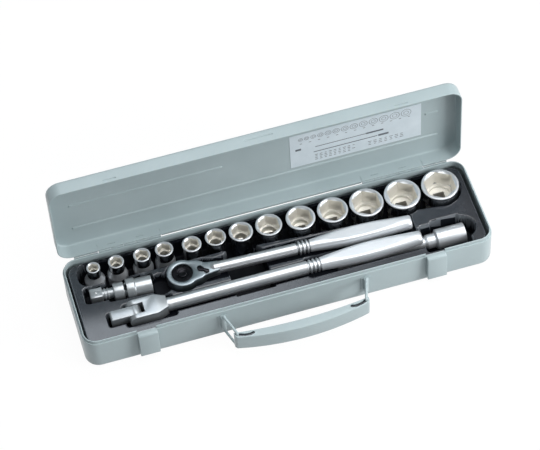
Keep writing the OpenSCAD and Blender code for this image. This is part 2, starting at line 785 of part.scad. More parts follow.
// Universal joint, pivot at the origin, socket end along +X
joint_x = -half_w + 67.5;
joint_y = 8.7;
joint_turn = -3;
ball_seat_r = band_r - 2.3;
band_half = 4.5;
cross_r = 2;
drum_from = 19;
drum_to = 7.6;
neck_end = 32;
neck_r = 5.6;

module joint_place() {
  translate([joint_x, joint_y, joint_z]) rotate([0, 0, joint_turn]) children();
}

module joint_socket_end() {
  square_w = drive + 2 * drive_gap;
  color(steel) joint_place() difference() {
    union() {
      translate([2.5, 0, 0]) rotate([0, 90, 0]) cylinder(r = joint_r, h = joint_socket_len - 3.3);
      translate([joint_socket_len - 0.8, 0, 0]) rotate([0, 90, 0]) cylinder(r1 = joint_r, r2 = joint_r - 0.8, h = 0.8);
      translate([-band_half, 0, 0]) rotate([0, 90, 0]) cylinder(r = band_r, h = 2 * band_half);
    }
    sphere(r = ball_seat_r);
    translate([-band_half - 1, 0, 0]) rotate([0, 90, 0]) cylinder(r = ball_seat_r, h = band_half + 1);
    translate([joint_socket_len - 13, -square_w / 2, -square_w / 2]) cube([14, square_w, square_w]);
    cylinder(r = cross_r + pin_gap, h = 3 * band_r, center = true);
  }
}

module joint_cross() {
  color(steel) joint_place() {
    translate([-4, -4, -4]) cube(8);
    cylinder(r = cross_r, h = 2 * band_r - 0.4, center = true);
    rotate([90, 0, 0]) cylinder(r = cross_r - 0.2, h = 2 * ball_seat_r - 2, center = true);
  }
}

module joint_square_end() {
  tip = drive / 2;
  color(steel) joint_place() difference() {
    union() {
      intersection() {
        sphere(r = ball_seat_r - 0.4);
        union() {
          for (s = [-1, 1]) translate([-7, s * 6.8 - 2.5, -4.6]) cube([11, 5, 9.2]);
          translate([-10, -9, -4.6]) cube([4, 18, 9.2]);
        }
      }
      rotate([0, -90, 0]) rotate_extrude() polygon([
        [0, drum_to - 1.6], [5, drum_to - 1.6], [joint_r - 2.3, drum_to - 0.6], [joint_r - 0.4, drum_to],
        [joint_r - 0.4, drum_from - 0.8], [joint_r - 1.2, drum_from], [neck_r, drum_from],
        [neck_r, neck_end], [0, neck_end]
      ]);
      for (k = [0:1]) translate([-26 - k * 3.6, 0, 0]) rotate([0, 90, 0]) cylinder(r = 6.6, h = 1.8);
      translate([-joint_square_len + 1, -tip, -tip]) cube([joint_square_len - neck_end + 0.5, drive, drive]);
      translate([-joint_square_len, -tip + 1, -tip + 1]) cube([2, drive - 2, drive - 2]);
    }
    rotate([90, 0, 0]) cylinder(r = cross_r - 0.2 + pin_gap, h = 30, center = true);
    translate([-joint_square_len + 6.5, 0, tip]) cylinder(r = ball_r + 0.1, h = 2 * ball_hole, center = true);
  }
}

module joint_ball() {
  color(steel) joint_place() translate([-joint_square_len + 6.5, 0, drive / 2 - ball_sink]) sphere(r = ball_r);
}

// Extension bar, tip of its square at the origin, socket end along +X
ext_x = half_w - 25 - ext_len;
ext_y = -26.2;
ext_z = handle_z - grip_half_t - max(ext_shaft_r, drive / 2) - ext_gap;
collar_r = 8.2;
collar_len = 9;
cone_len = 3;
ext_head_at = ext_len - ext_head;
collar_at = ext_head_at - 2 - collar_len;
module ext_place() {
  translate([ext_x, ext_y, ext_z]) children();
}

module extension_bar() {
  tip = drive / 2;
  square_w = drive + 2 * drive_gap;
  color(steel) ext_place() difference() {
    union() {
      translate([0, -tip + 1, -tip + 1]) cube([2, drive - 2, drive - 2]);
      translate([1, -tip, -tip]) cube([ext_square_len, drive, drive]);
      translate([ext_square_len, 0, 0]) rotate([0, 90, 0])
        cylinder(r = ext_shaft_r, h = collar_at - ext_square_len);
      translate([collar_at - cone_len, 0, 0]) rotate([0, 90, 0])
        cylinder(r1 = ext_shaft_r, r2 = collar_r, h = cone_len);
      translate([collar_at, 0, 0]) rotate([0, 90, 0]) cylinder(r = collar_r, h = collar_len);
      translate([ext_head_at - 2, 0, 0]) rotate([0, 90, 0]) cylinder(r1 = collar_r, r2 = ext_end_r, h = 2);
      translate([ext_head_at, 0, 0]) rotate([0, 90, 0]) cylinder(r = ext_end_r, h = ext_head - 1);
      translate([ext_len - 1, 0, 0]) rotate([0, 90, 0]) cylinder(r1 = ext_end_r, r2 = ext_end_r - 1, h = 1);
    }
    translate([ext_len - 15, -square_w / 2, -square_w / 2]) cube([16, square_w, square_w]);
    translate([ext_square_len / 2, tip, 0]) rotate([90, 0, 0])
      cylinder(r = ball_r + 0.1, h = 2 * ball_hole, center = true);
  }
}

module extension_ball() {
  color(steel) ext_place() translate([ext_square_len / 2, drive / 2 - ball_sink, 0]) sphere(r = ball_r);
}

// Cuts everything above z inside a plan outline
module pocket(z) {
  translate([0, 0, z]) linear_extrude(insert_top + 10 - z) children();
}

module box_plan(x0, x1, y0, y1, r) {
  translate([x0 + r, y0]) square([x1 - x0 - 2 * r, y1 - y0]);
  translate([x0, y0 + r]) square([x1 - x0, y1 - y0 - 2 * r]);
  for (x = [x0 + r, x1 - r], y = [y0 + r, y1 - r]) translate([x, y]) circle(r);
}

// Trough in which all sockets stand: its front edge follows the row
trough_left = -insert_half_w + 10.5;
trough_corner = 12;
trough_rear = insert_rear - 1.6;
trough_gaps = [4.5, 4.5, 4.5, 4.5, 2.2, 2, 1.2, 1.2, 1.2, 1.4, 1.4, 1.4, 1.4];
function trough_y(i) = socket_y(i) - socket_r(i) - trough_gaps[i];

module socket_pockets() {
  pocket(insert_floor) {
    polygon([
      [socket_x(last), trough_rear], [trough_left + trough_corner, trough_rear],
      [trough_left + trough_corner, trough_y(0)],
      for (i = [0:last - 1]) [socket_x(i), trough_y(i)],
      [socket_x(last - 1) + 12, trough_y(last - 1) + 3], [socket_x(last) - 18, trough_y(last) + 3],
      [socket_x(last), trough_y(last)]
    ]);
    box_plan(trough_left, trough_left + 3 * trough_corner, trough_y(0), trough_rear, trough_corner);
    for (i = [0:last]) translate([socket_x(i), socket_y(i)]) circle(socket_r(i) + socket_room);
  }
}

// Seat of the ratchet, with room behind its neck and, at the far end, beside its grip
module ratchet_pockets() {
  side = grip_half_w + 0.5;
  translate([ratchet_x, ratchet_y, 0]) rotate([0, 0, ratchet_turn]) {
    pocket(handle_z + head_low - seat_gap) {
      circle(head_r + pocket_gap);
      polygon([
        [0, 17.2], [24.5, 17.4], [38.3, 13.7], [49, 14.8], [49, -13], [24.5, -13], [17, -15.5], [0, -15.5]
      ]);
    }
    pocket(handle_z + head_low - 6) translate([-head_r - 8, -3]) circle(13);
    pocket(handle_z + head_low - square_len - 3) circle(drive * 0.75);
    pocket(handle_z - ring_r - seat_gap) {
      box_plan(40, ratchet_len + pocket_gap, -side, side, 4);
      box_plan(190, ratchet_len + pocket_gap, -side - 5, 0, 4);
    }
  }
}

module flex_pockets() {
  translate([flex_x, flex_y, 0]) {
    pocket(handle_z - fork_half_h - seat_gap)
      box_plan(-12, 44, -fork_w / 2 - pocket_gap, fork_w / 2 + pocket_gap, 3);
    pocket(handle_z - tip_len - 1.5)
      box_plan(-tip_len - pocket_gap, fork_end_r + pocket_gap, -drive / 2 - pocket_gap, drive / 2 + pocket_gap, 2);
    pocket(handle_z - ring_r - seat_gap) {
      box_plan(40, flex_grip_at - 8, -flex_shaft_r - pocket_gap, flex_shaft_r + pocket_gap, 3);
      box_plan(flex_grip_at - 16, flex_len + pocket_gap, -grip_half_w - pocket_gap, grip_half_w + pocket_gap, 4);
    }
  }
}

module joint_pockets() {
  translate([joint_x, joint_y, 0]) rotate([0, 0, joint_turn]) {
    pocket(joint_z - band_r - seat_gap)
      box_plan(-25, joint_socket_len + pocket_gap, -band_r - 1, band_r + 1, 2);
    pocket(joint_z - band_r - seat_gap)
      box_plan(-joint_square_len - 5.7, -20, -drive / 2 - 3.5, drive / 2 + 3.5, 3);
  }
}

// Finger recess across the two shanks, its rear edge rounded
recess_x = [ratchet_x + 51, ratchet_x + 93.5];
module shank_recess() {
  pocket(recess_floor) {
    box_plan(recess_x[0], recess_x[1], flex_y - 11, 12.3, 5);
    polygon([
      [recess_x[0], 0], [recess_x[0], 17.5], [recess_x[0] + 5, 22.3], [recess_x[0] + 15, 24.4],
      [recess_x[1] - 17, 21.4], [recess_x[1] - 5, 18.9], [recess_x[1], 12.3], [recess_x[1], 0]
    ]);
  }
}

module extension_pockets() {
  translate([ext_x, ext_y, 0]) {
    pocket(ext_z - ext_shaft_r - 0.4) box_plan(-2, ext_head_at + 1, -9.4, 9.4, 3);
    pocket(ext_z - ext_end_r - seat_gap)
      box_plan(collar_at - cone_len - 2, ext_len + pocket_gap, -ext_end_r - pocket_gap, ext_end_r + pocket_gap, 3);
    pocket(ext_z - ext_end_r - seat_gap) polygon([
      [ext_head_at - 6, 10], [ext_head_at - 1, 15.9], [ext_len - 5, 16.3], [ext_len + 2, 11], [ext_len, 0],
      [ext_head_at, 0]
    ]);
    pocket(recess_floor) translate([ext_len - 2, -0.8]) circle(13.2);
  }
}

// Block with a pocket for each tool, each cut down to that tool's seat
module insert() {
  color(black) difference() {
    translate([0, (insert_front + insert_rear) / 2, insert_low])
      slab(2 * insert_half_w, insert_rear - insert_front, insert_top - insert_low, corner_r - 4);
    socket_pockets();
    ratchet_pockets();
    flex_pockets();
    joint_pockets();
    extension_pockets();
    shank_recess();
    for (s = [-1, 1]) translate([s * latch_x - latch_w / 2, insert_front - 1, tray_h - 12]) cube([latch_w, 2, 20]);
  }
}

tray();
lid();
hinge_pins();
label();
insert();
latch_left();
latch_right();
latch_pins();
latch_springs();
handle_grip();
handle_arm_left();
handle_arm_right();
handle_brackets();
socket_10();
socket_12();
socket_13();
socket_14();
socket_15();
socket_17();
socket_19();
socket_22();
socket_24();
socket_26();
socket_29();
socket_30();
socket_32();
ratchet_handle();
ratchet_cover();
ratchet_rotor();
ratchet_button();
ratchet_lever();
ratchet_pawl();
ratchet_ball();
ratchet_snap_ring();
flex_handle();
flex_head();
flex_pin();
flex_ball();
joint_socket_end();
joint_cross();
joint_square_end();
joint_ball();
extension_bar();
extension_ball();
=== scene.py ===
import math

import bpy
import bmesh
import numpy as np
from mathutils import Matrix, Vector


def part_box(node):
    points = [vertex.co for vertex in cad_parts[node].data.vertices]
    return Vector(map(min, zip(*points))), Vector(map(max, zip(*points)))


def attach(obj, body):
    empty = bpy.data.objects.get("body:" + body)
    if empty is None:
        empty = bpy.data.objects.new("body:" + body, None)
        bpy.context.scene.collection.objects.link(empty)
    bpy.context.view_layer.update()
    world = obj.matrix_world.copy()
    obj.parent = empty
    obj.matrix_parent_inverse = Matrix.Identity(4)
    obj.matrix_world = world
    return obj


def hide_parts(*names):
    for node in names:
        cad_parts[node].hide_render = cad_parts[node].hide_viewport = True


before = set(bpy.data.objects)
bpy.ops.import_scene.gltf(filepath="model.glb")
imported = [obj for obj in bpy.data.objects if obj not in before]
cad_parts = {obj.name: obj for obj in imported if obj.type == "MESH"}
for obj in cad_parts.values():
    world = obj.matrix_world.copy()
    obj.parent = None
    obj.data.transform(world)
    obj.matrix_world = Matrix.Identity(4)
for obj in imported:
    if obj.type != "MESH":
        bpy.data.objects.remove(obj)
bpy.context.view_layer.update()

scene = bpy.context.scene
mm = 0.001
tau = 2 * math.pi
print("stage: frame loaded,", len(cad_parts), "nodes")


# materials
def newMaterial(name):
    mat = bpy.data.materials.new(name)
    mat.use_nodes = True
    return mat, mat.node_tree, mat.node_tree.nodes["Principled BSDF"]


def objectCoords(tree):
    return tree.nodes.new("ShaderNodeTexCoord").outputs["Object"]


def noise(tree, vector, scale, detail):
    node = tree.nodes.new("ShaderNodeTexNoise")
    node.inputs["Scale"].default_value = scale
    node.inputs["Detail"].default_value = detail
    tree.links.new(vector, node.inputs["Vector"])
    return node.outputs["Fac"]


def ramp(tree, fac, stops):
    node = tree.nodes.new("ShaderNodeValToRGB")
    elements = node.color_ramp.elements
    while len(elements) < len(stops):
        elements.new(0.5)
    for element, (place, color) in zip(elements, stops):
        element.position = place
        element.color = (*color, 1)
    tree.links.new(fac, node.inputs["Fac"])
    return node.outputs["Color"]


def span(tree, fac, low, high):
    # maps 0 to 1 onto low to high
    node = tree.nodes.new("ShaderNodeMapRange")
    node.inputs["To Min"].default_value = low
    node.inputs["To Max"].default_value = high
    tree.links.new(fac, node.inputs["Value"])
    return node.outputs["Result"]


def mottle(tree, shader, vector, scale, detail, dark, light, edges=(0.3, 0.7)):
    # soft patches between two close colours
    patches = noise(tree, vector, scale, detail)
    tree.links.new(ramp(tree, patches, list(zip(edges, (dark, light)))), shader.inputs["Base Color"])


def bump(tree, shader, height, strength, distance):
    node = tree.nodes.new("ShaderNodeBump")
    node.inputs["Strength"].default_value = strength
    node.inputs["Distance"].default_value = distance
    tree.links.new(height, node.inputs["Height"])
    tree.links.new(node.outputs["Normal"], shader.inputs["Normal"])


paint = dict(dark=(0.372, 0.45, 0.466), light=(0.41, 0.492, 0.509), roughness=(0.30, 0.42), peel=0.12)


def paintMaterial():
    mat, tree, shader = newMaterial("casePaint")
    vector = objectCoords(tree)
    mottle(tree, shader, vector, 18, 4, paint["dark"], paint["light"])
    tree.links.new(span(tree, noise(tree, vector, 60, 2), *paint["roughness"]), shader.inputs["Roughness"])
    bump(tree, shader, noise(tree, vector, 420, 2), paint["peel"], 0.0002)
    shader.inputs["Specular IOR Level"].default_value = 0.3
    shader.inputs["Coat Weight"].default_value = 0.12
    shader.inputs["Coat Roughness"].default_value = 0.15
    return mat


def metalMaterial(name, dark, light, roughness, grain, metallic=1.0):
    mat, tree, shader = newMaterial(name)
    vector = objectCoords(tree)
    mottle(tree, shader, vector, 35, 3, dark, light, (0.25, 0.75))
    fine = noise(tree, vector, 900, 3)
    tree.links.new(span(tree, fine, *roughness), shader.inputs["Roughness"])
    shader.inputs["Metallic"].default_value = metallic
    bump(tree, shader, fine, grain, 0.0001)
    return mat


def insertMaterial(name, dark, light, roughness, gloss=1.0):
    mat, tree, shader = newMaterial(name)
    vector = objectCoords(tree)
    mottle(tree, shader, vector, 40, 4, dark, light, (0.3, 0.75))
    tree.links.new(span(tree, noise(tree, vector, 90, 3), *roughness), shader.inputs["Roughness"])
    bump(tree, shader, noise(tree, vector, 900, 2), 0.12, 0.0002)
    shader.inputs["Specular IOR Level"].default_value = gloss
    return mat


def sheetMaterial(name, dark, light, rough):
    mat, tree, shader = newMaterial(name)
    vector = objectCoords(tree)
    mottle(tree, shader, vector, 70, 5, dark, light)
    fine = noise(tree, vector, 200, 2)
    tree.links.new(span(tree, fine, rough - 0.08, rough + 0.08), shader.inputs["Roughness"])
    return mat


casePaint = paintMaterial()
# each finish: dark and light colour, range of roughness, then depth of grain or gloss
chrome = metalMaterial("chromePlate", (0.58, 0.60, 0.62), (0.64, 0.66, 0.68), (0.30, 0.38), 0.002, 0.93)
# a glossier copy of the chrome for socket walls; its darker colour is a painted dark reflection
shadedWallChrome = metalMaterial("shadedWallChrome", (0.42, 0.44, 0.46), (0.50, 0.52, 0.54), (0.16, 0.24), 0.002)
brightSatin = metalMaterial("brightSatin", (0.66, 0.69, 0.72), (0.74, 0.77, 0.80), (0.30, 0.38), 0.002, 0.68)
pearlChrome = metalMaterial("pearlChrome", (0.41, 0.44, 0.46), (0.48, 0.51, 0.53), (0.28, 0.36), 0.002, 0.75)
satinSteel = metalMaterial("satinSteel", (0.31, 0.36, 0.39), (0.36, 0.41, 0.44), (0.32, 0.40), 0.004)
warmNickel = metalMaterial("warmNickel", (0.83, 0.81, 0.75), (0.92, 0.90, 0.85), (0.28, 0.36), 0.002, 0.66)
blackOxide = metalMaterial("blackOxide", (0.020, 0.020, 0.024), (0.035, 0.034, 0.038), (0.16, 0.26), 0.02)
plainSteel = metalMaterial("plainSteel", (0.58, 0.59, 0.61), (0.70, 0.71, 0.73), (0.24, 0.32), 0.004)
insertPlastic = insertMaterial("insertPlastic", (0.017, 0.021, 0.029), (0.027, 0.032, 0.041), (0.15, 0.24))
# darker, duller copy of the insert plastic deep in the pockets: painted shade
insertDeepShade = insertMaterial("insertDeepShade", (0.005, 0.006, 0.009), (0.009, 0.011, 0.015), (0.34, 0.46), 0.1)
# lighter copy of the insert plastic for the pocket edges: a painted highlight
insertLipHighlight = insertMaterial("insertLipHighlight", (0.085, 0.095, 0.110), (0.125, 0.140, 0.155), (0.24, 0.36))
labelPaper = sheetMaterial("labelPaper", (0.60, 0.68, 0.73), (0.66, 0.74, 0.79), 0.35)
labelInk = sheetMaterial("labelInk", (0.10, 0.12, 0.14), (0.14, 0.16, 0.18), 0.45)
print("stage: materials")


# mesh helpers, all in millimetres
def finishPiece(name, bm, body, mat, replaced=(), sharp=38, extra=()):
    bmesh.ops.remove_doubles(bm, verts=bm.verts, dist=1e-4)
    bmesh.ops.recalc_face_normals(bm, faces=bm.faces)
    bmesh.ops.scale(bm, vec=(mm, mm, mm), verts=bm.verts)
    mesh = bpy.data.meshes.new(name)
    bm.to_mesh(mesh)
    bm.free()
    for face in mesh.polygons:
        face.use_smooth = True
    mesh.set_sharp_from_angle(angle=math.radians(sharp))
    for each in (mat, *extra):
        mesh.materials.append(each)
    obj = bpy.data.objects.new(name, mesh)
    scene.collection.objects.link(obj)
    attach(obj, body)
    if replaced:
        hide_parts(*replaced)


def loftRings(bm, rings, capStart=False, capEnd=False, closed=False):
    # skins rings of equally many points, extruding each ring from the last
    made = bmesh.ops.create_circle(bm, segments=len(rings[0]), radius=1)
    ring = made["verts"]
    edges = list({edge for vert in ring for edge in vert.link_edges})
    first, firstEdges = ring, edges
    for vert, place in zip(ring, rings[0]):
        vert.co = place
    for places in rings[1:]:
        order = {id(vert): i for i, vert in enumerate(ring)}
        found = bmesh.ops.extrude_edge_only(bm, edges=edges)["geom"]
        fresh = [None] * len(ring)
        edges = [item for item in found if isinstance(item, bmesh.types.BMEdge)]
        new = {item for item in found if isinstance(item, bmesh.types.BMVert)}
        for vert in new:
            for edge in vert.link_edges:
                other = edge.other_vert(vert)
                if id(other) in order and other not in new:
                    fresh[order[id(other)]] = vert
        ring = fresh
        for vert, place in zip(ring, places):
            vert.co = place
        edges = [edge for edge in edges if edge.verts[0] in new and edge.verts[1] in new]
    if capStart:
        bmesh.ops.contextual_create(bm, geom=firstEdges)
    if capEnd:
        bmesh.ops.contextual_create(bm, geom=edges)
    if closed:
        bmesh.ops.bridge_loops(bm, edges=firstEdges + edges)


def boxRing(w, d, r, z, steps=9):
    # rectangle with corners of radius r at height z
    points = []
    for corner, (sx, sy) in enumerate([(1, 1), (-1, 1), (-1, -1), (1, -1)]):
        for k in range(steps):
            angle = (corner + k / (steps - 1)) * math.pi / 2
            points.append(Vector((sx * (w / 2 - r) + r * math.cos(angle),
                                  sy * (d / 2 - r) + r * math.sin(angle), z)))
    return points


def arc(cx, radius, fromAngle, toAngle, count):
    # points of an arc round (cx, 0)
    return [(cx + radius * math.cos(a), radius * math.sin(a)) for a in np.linspace(fromAngle, toAngle, count)]


def fillet(points, steps=4):
    # rounds each corner that has a third value, its radius
    smooth = []
    for i, point in enumerate(points):
        if len(point) < 3 or not point[2] or i in (0, len(points) - 1):
            smooth.append((point[0], point[1]))
            continue
        here = Vector(point[:2])
        toLast = Vector(points[i - 1][:2]) - here
        toNext = Vector(points[i + 1][:2]) - here
        half = toLast.angle(toNext) / 2
        reach = min(point[2] / math.tan(half), 0.49 * toLast.length, 0.49 * toNext.length)
        start = here + toLast.normalized() * reach
        end = here + toNext.normalized() * reach
        for k in range(steps + 1):
            t = k / steps
            smooth.append(tuple(start * (1 - t) ** 2 + here * 2 * t * (1 - t) + end * t ** 2))
    return smooth


def roundRadius(r):
    return lambda angle: r


def polygonRadius(sides, across, corner):
    # distance to a polygon's edge at an angle, its corners cut at the given radius
    step = tau / sides

    def radiusAt(angle):
        inside = (angle + step / 2) % step - step / 2
        return min(across / 2 / math.cos(inside), corner)
    return radiusAt


def axialRing(x, radiusAt, segments):
    # a ring round the X axis
    points = []
    for k in range(segments):
        angle = tau * k / segments
        r = radiusAt(angle)
        points.append(Vector((x, r * math.cos(angle), r * math.sin(angle))))
    return points


def uprightRing(z, radiusAt, segments):
    # a ring round the Z axis
    points = []
    for k in range(segments):
        angle = tau * k / segments
        r = radiusAt(angle)
        points.append(Vector((r * math.cos(angle), r * math.sin(angle), z)))
    return points


def turned(bm, profile, segments=64):
    # profile of (x, radius, fillet) spun round the X axis
    points = fillet(profile)
    verts = [bm.verts.new((x, 0, r)) for x, r in points]
    edges = [bm.edges.new(pair) for pair in zip(verts, verts[1:])]
    bmesh.ops.spin(bm, geom=verts + edges, cent=(0, 0, 0), axis=(1, 0, 0), angle=tau, steps=segments,
                   use_merge=True)
    bmesh.ops.remove_doubles(bm, verts=bm.verts, dist=1e-4)


def plate(bm, outline, low, high):
    # flat outline extruded from low to high along Z
    verts = [bm.verts.new((x, y, low)) for x, y in outline]
    edges = [bm.edges.new((verts[i], verts[(i + 1) % len(verts)])) for i in range(len(verts))]
    face = bmesh.ops.contextual_create(bm, geom=verts + edges)["faces"]
    raised = bmesh.ops.extrude_face_region(bm, geom=face)["geom"]
    raised = [v for v in raised if isinstance(v, bmesh.types.BMVert)]
    bmesh.ops.translate(bm, vec=(0, 0, high - low), verts=raised)


def softenEdges(bm, width, segments=3, angle=30):
    bmesh.ops.recalc_face_normals(bm, faces=bm.faces)
    edges = [e for e in bm.edges if len(e.link_faces) == 2 and e.calc_face_angle(0) > math.radians(angle)]
    bmesh.ops.bevel(bm, geom=edges, offset=width, segments=segments, affect="EDGES", profile=0.5, material=-1,
                    clamp_overlap=True)


def placed(bm, matrix):
    bmesh.ops.transform(bm, matrix=matrix, verts=bm.verts)


def block(size, place):
    # a box of that size centred on a place
    bm = bmesh.new()
    bmesh.ops.create_cube(bm, size=1)
    bmesh.ops.scale(bm, vec=size, verts=bm.verts)
    placed(bm, Matrix.Translation(place))
    return bm


def carve(obj, cutter, operation="DIFFERENCE"):
    # applies a boolean with another mesh and removes the cutter
    modifier = obj.modifiers.new("cut", "BOOLEAN")
    modifier.object = cutter
    modifier.operation = operation
    modifier.solver = "EXACT"
    bpy.context.view_layer.update()
    evaluated = obj.evaluated_get(bpy.context.evaluated_depsgraph_get())
    mesh = bpy.data.meshes.new_from_object(evaluated)
    obj.modifiers.clear()
    old = obj.data
    mesh.name = old.name
    obj.data = mesh
    bpy.data.meshes.remove(old)
    bpy.data.objects.remove(cutter)


def rawObject(name, bm):
    # a working object, to be carved or to carve with
    bmesh.ops.recalc_face_normals(bm, faces=bm.faces)
    mesh = bpy.data.meshes.new(name)
    bm.to_mesh(mesh)
    bm.free()
    obj = bpy.data.objects.new(name, mesh)
    scene.collection.objects.link(obj)
    return obj


def toBmesh(obj):
    bm = bmesh.new()
    bm.from_mesh(obj.data)
    bpy.data.objects.remove(obj)
    return bm


def joinInto(bm, other):
    # adds the other bmesh to this one and frees it
    mesh = bpy.data.meshes.new("joined")
    other.to_mesh(mesh)
    other.free()
    bm.from_mesh(mesh)
    bpy.data.meshes.remove(mesh)


def toolFrame(x, y, z, turn=0.0):
    return Matrix.Translation((x, y, z)) @ Matrix.Rotation(math.radians(turn), 4, "Z")


# case
# ledges: how far each stands out behind the middle and behind the ends
case = dict(width=468, depth=116, trayHeight=42.5, lipHeight=4, lidHeight=18, sheet=1.2, corner=16, edge=4,
            gap=0.4, latchX=164.5, notch=22, trayLedge=(1.7, 2.7), lidLedge=(1.9, 2.0), ledgeThick=0.8,
            knuckle=2, knuckles=5, knuckleGap=0.2, pinHole=1.05, lidAngle=91, hingeX=153, hingeLength=72,
            root=0.6)
case["lipInset"] = case["sheet"] + case["gap"]
case["front"] = -case["depth"] / 2
case["hingeY"] = case["depth"] / 2 + case["knuckle"] + 0.1
case["hingeZ"] = case["trayHeight"] + case["gap"] / 2
case["lidLow"] = case["trayHeight"] + case["gap"]
case["lidTop"] = case["lidLow"] + case["lidHeight"]


def shellRings(stations):
    # stations of (inset, height) round the case's plan
    return [boxRing(case["width"] - 2 * inset, case["depth"] - 2 * inset, max(case["corner"] - inset, 0.5), z)
            for inset, z in stations]


def knuckleRow(first, side):
    # one half's hinge knuckles, each on a short leaf
    row = bmesh.new()
    r, hole, spare = case["knuckle"], case["pinHole"], case["knuckleGap"]
    rear, root = case["depth"] / 2, case["root"]
    long = case["hingeLength"] / case["knuckles"]
    deep, thick = case["hingeY"] - rear + root, case["sheet"] * 0.7
    for hinge in (-case["hingeX"], case["hingeX"]):
        for k in range(first, case["knuckles"], 2):
            x0 = hinge - case["hingeLength"] / 2 + k * long + spare
            x1 = x0 + long - 2 * spare
            roll = bmesh.new()
            turned(roll, [(x0, hole), (x0, r, 0.3), (x1, r, 0.3), (x1, hole), (x0, hole)], 24)
            placed(roll, Matrix.Translation((0, case["hingeY"], case["hingeZ"])))
            joinInto(row, roll)
            joinInto(row, block((x1 - x0, deep, thick), ((x0 + x1) / 2, rear - root + deep / 2,
                                                         case["hingeZ"] + side * (r - thick / 2))))
    return row


def rearLedge(top, middleOut, endOut):
    # flange along the rear wall, broken where the hinges are
    row = bmesh.new()
    root, thick = case["root"], case["ledgeThick"]
    rear, clear = case["depth"] / 2, case["hingeLength"] / 2 + root
    inner, outer = case["hingeX"] - clear, case["hingeX"] + clear
    end = case["width"] / 2 - case["corner"] - 1
    for x0, x1, out in ((-end, -outer, endOut), (-inner, inner, middleOut), (outer, end, endOut)):
        joinInto(row, block((x1 - x0, out + root, thick),
                            ((x0 + x1) / 2, rear - root + (out + root) / 2, top - thick / 2)))
    return row


def makeTray():
    sheet, edge, lip = case["sheet"], case["edge"], case["lipInset"]
    height, top = case["trayHeight"], case["trayHeight"] + case["lipHeight"]
    outline = fillet([
        (edge + 4, 0), (0, 0, edge), (0, height, 0.7), (lip, height, 0.25), (lip, top, 0.55),
        (lip + sheet, top, 0.55), (lip + sheet, height - 4, 0.6), (sheet, height - 5.5, 0.6),
        (sheet, sheet, edge - sheet), (edge + 4, sheet)
    ], 5)
    bm = bmesh.new()
    loftRings(bm, shellRings(outline), capStart=True, capEnd=True)
    tray = rawObject("trayShell", bm)
    for side in (-1, 1):
        # the lip is open where each latch hooks over it
        notch = block((case["notch"], 6, 12), (side * case["latchX"], case["front"] + 2.4, height + 6.02))
        carve(tray, rawObject("notchCutter", notch))
    bm = toBmesh(tray)
    joinInto(bm, knuckleRow(0, -1))
    joinInto(bm, rearLedge(case["trayHeight"] - 0.3, *case["trayLedge"]))
    finishPiece("trayShell", bm, "case_tray", casePaint, ["tray"], sharp=24)


def barShape(x0, x1, y, z0, z1, wide, narrow):
    # long pressed rib: round ended, wide at z0 and narrow at z1
    bm = bmesh.new()
    half = (x1 - x0) / 2
    rings = []
    for z, w in ((z0, wide), (z1, narrow)):
        ring = []
        for k in range(24):
            angle = tau * (k + 0.5) / 24
            shift = (half - wide / 2) * (1 if math.cos(angle) > 0 else -1)
            ring.append(Vector(((x0 + x1) / 2 + shift + w / 2 * math.cos(angle),
                                y + w / 2 * math.sin(angle), z)))
        rings.append(ring)
    loftRings(bm, rings, capStart=True, capEnd=True)
    return bm


lidDetail = dict(ribs=[(-212, 212, 28), (-212, -37, -12), (196, 212, -12)], ribWide=4.4, ribNarrow=2.0,
                 ribHeight=1.3, catches=[(-case["latchX"], 16, 3.6), (3.4, 34, 8), (case["latchX"], 16, 3.6)],
                 catchDepth=0.8, seam=0.8)
label = dict(x=116, y=-5.5, length=152, width=55, thick=0.3, ink=0.06)


def opened():
    # turns the lid from closed to open about its hinge
    hinge = Matrix.Translation((0, case["hingeY"], case["hingeZ"]))
    return hinge @ Matrix.Rotation(-math.radians(case["lidAngle"]), 4, "X") @ hinge.inverted()


def leafSeams(low):
    # fine pressed lines round each hinge leaf, inside the rear wall
    seams = bmesh.new()
    inner, half, line = case["depth"] / 2 - case["sheet"], case["hingeLength"] / 2, lidDetail["seam"]
    for hinge in (-case["hingeX"], case["hingeX"]):
        for x, wide, z, tall in ((-half, line, low + 3.6, 7), (half, line, low + 3.6, 7),
                                 (-half * 0.55, 9, low + 4.6, line), (half * 0.35, 9, low + 4.6, line)):
            joinInto(seams, block((wide, 1, tall), (hinge + x, inner + 0.1, z)))
    return seams


def makeLid():
    sheet, edge = case["sheet"], case["edge"]
    low, top = case["lidLow"], case["lidTop"]
    outline = fillet([
        (edge + 5, top), (0, top, edge), (0, low, 0.35), (sheet, low, 0.35),
        (sheet, top - sheet, edge - sheet), (edge + 5, top - sheet)
    ], 5)
    bm = bmesh.new()
    loftRings(bm, shellRings(outline), capStart=True, capEnd=True)
    lid = rawObject("lidShell", bm)
    height, wide, narrow = lidDetail["ribHeight"], lidDetail["ribWide"], lidDetail["ribNarrow"]
    inner = top - sheet
    for x0, x1, y in lidDetail["ribs"]:
        rib = barShape(x0, x1, y, inner + 0.3, inner - height, wide, narrow)
        carve(lid, rawObject("rib", rib), "UNION")
        groove = barShape(x0, x1, y, top + 0.2, top - height, wide - 0.5, narrow - 1.4)
        carve(lid, rawObject("groove", groove))
    # small catches pressed in from the front wall
    stand = Matrix.Rotation(math.radians(-90), 4, "X")
    for x, length, rise in lidDetail["catches"]:
        place = Matrix.Translation((x, case["front"], low + rise)) @ stand
        bumpShape = barShape(-length / 2, length / 2, 0, sheet - 0.2, sheet + 0.8, 2.8, 1.6)
        placed(bumpShape, place)
        carve(lid, rawObject("catch", bumpShape), "UNION")
        dent = barShape(-length / 2, length / 2, 0, -0.2, lidDetail["catchDepth"], 2.4, 1.2)
        placed(dent, place)
        carve(lid, rawObject("dent", dent))
    carve(lid, rawObject("leafSeams", leafSeams(low)))
    bm = toBmesh(lid)
    joinInto(bm, knuckleRow(1, 1))
    joinInto(bm, rearLedge(low + 1.1, *case["lidLedge"]))
    placed(bm, opened())
    finishPiece("lidShell", bm, "case_lid", casePaint, ["lid"], sharp=24)


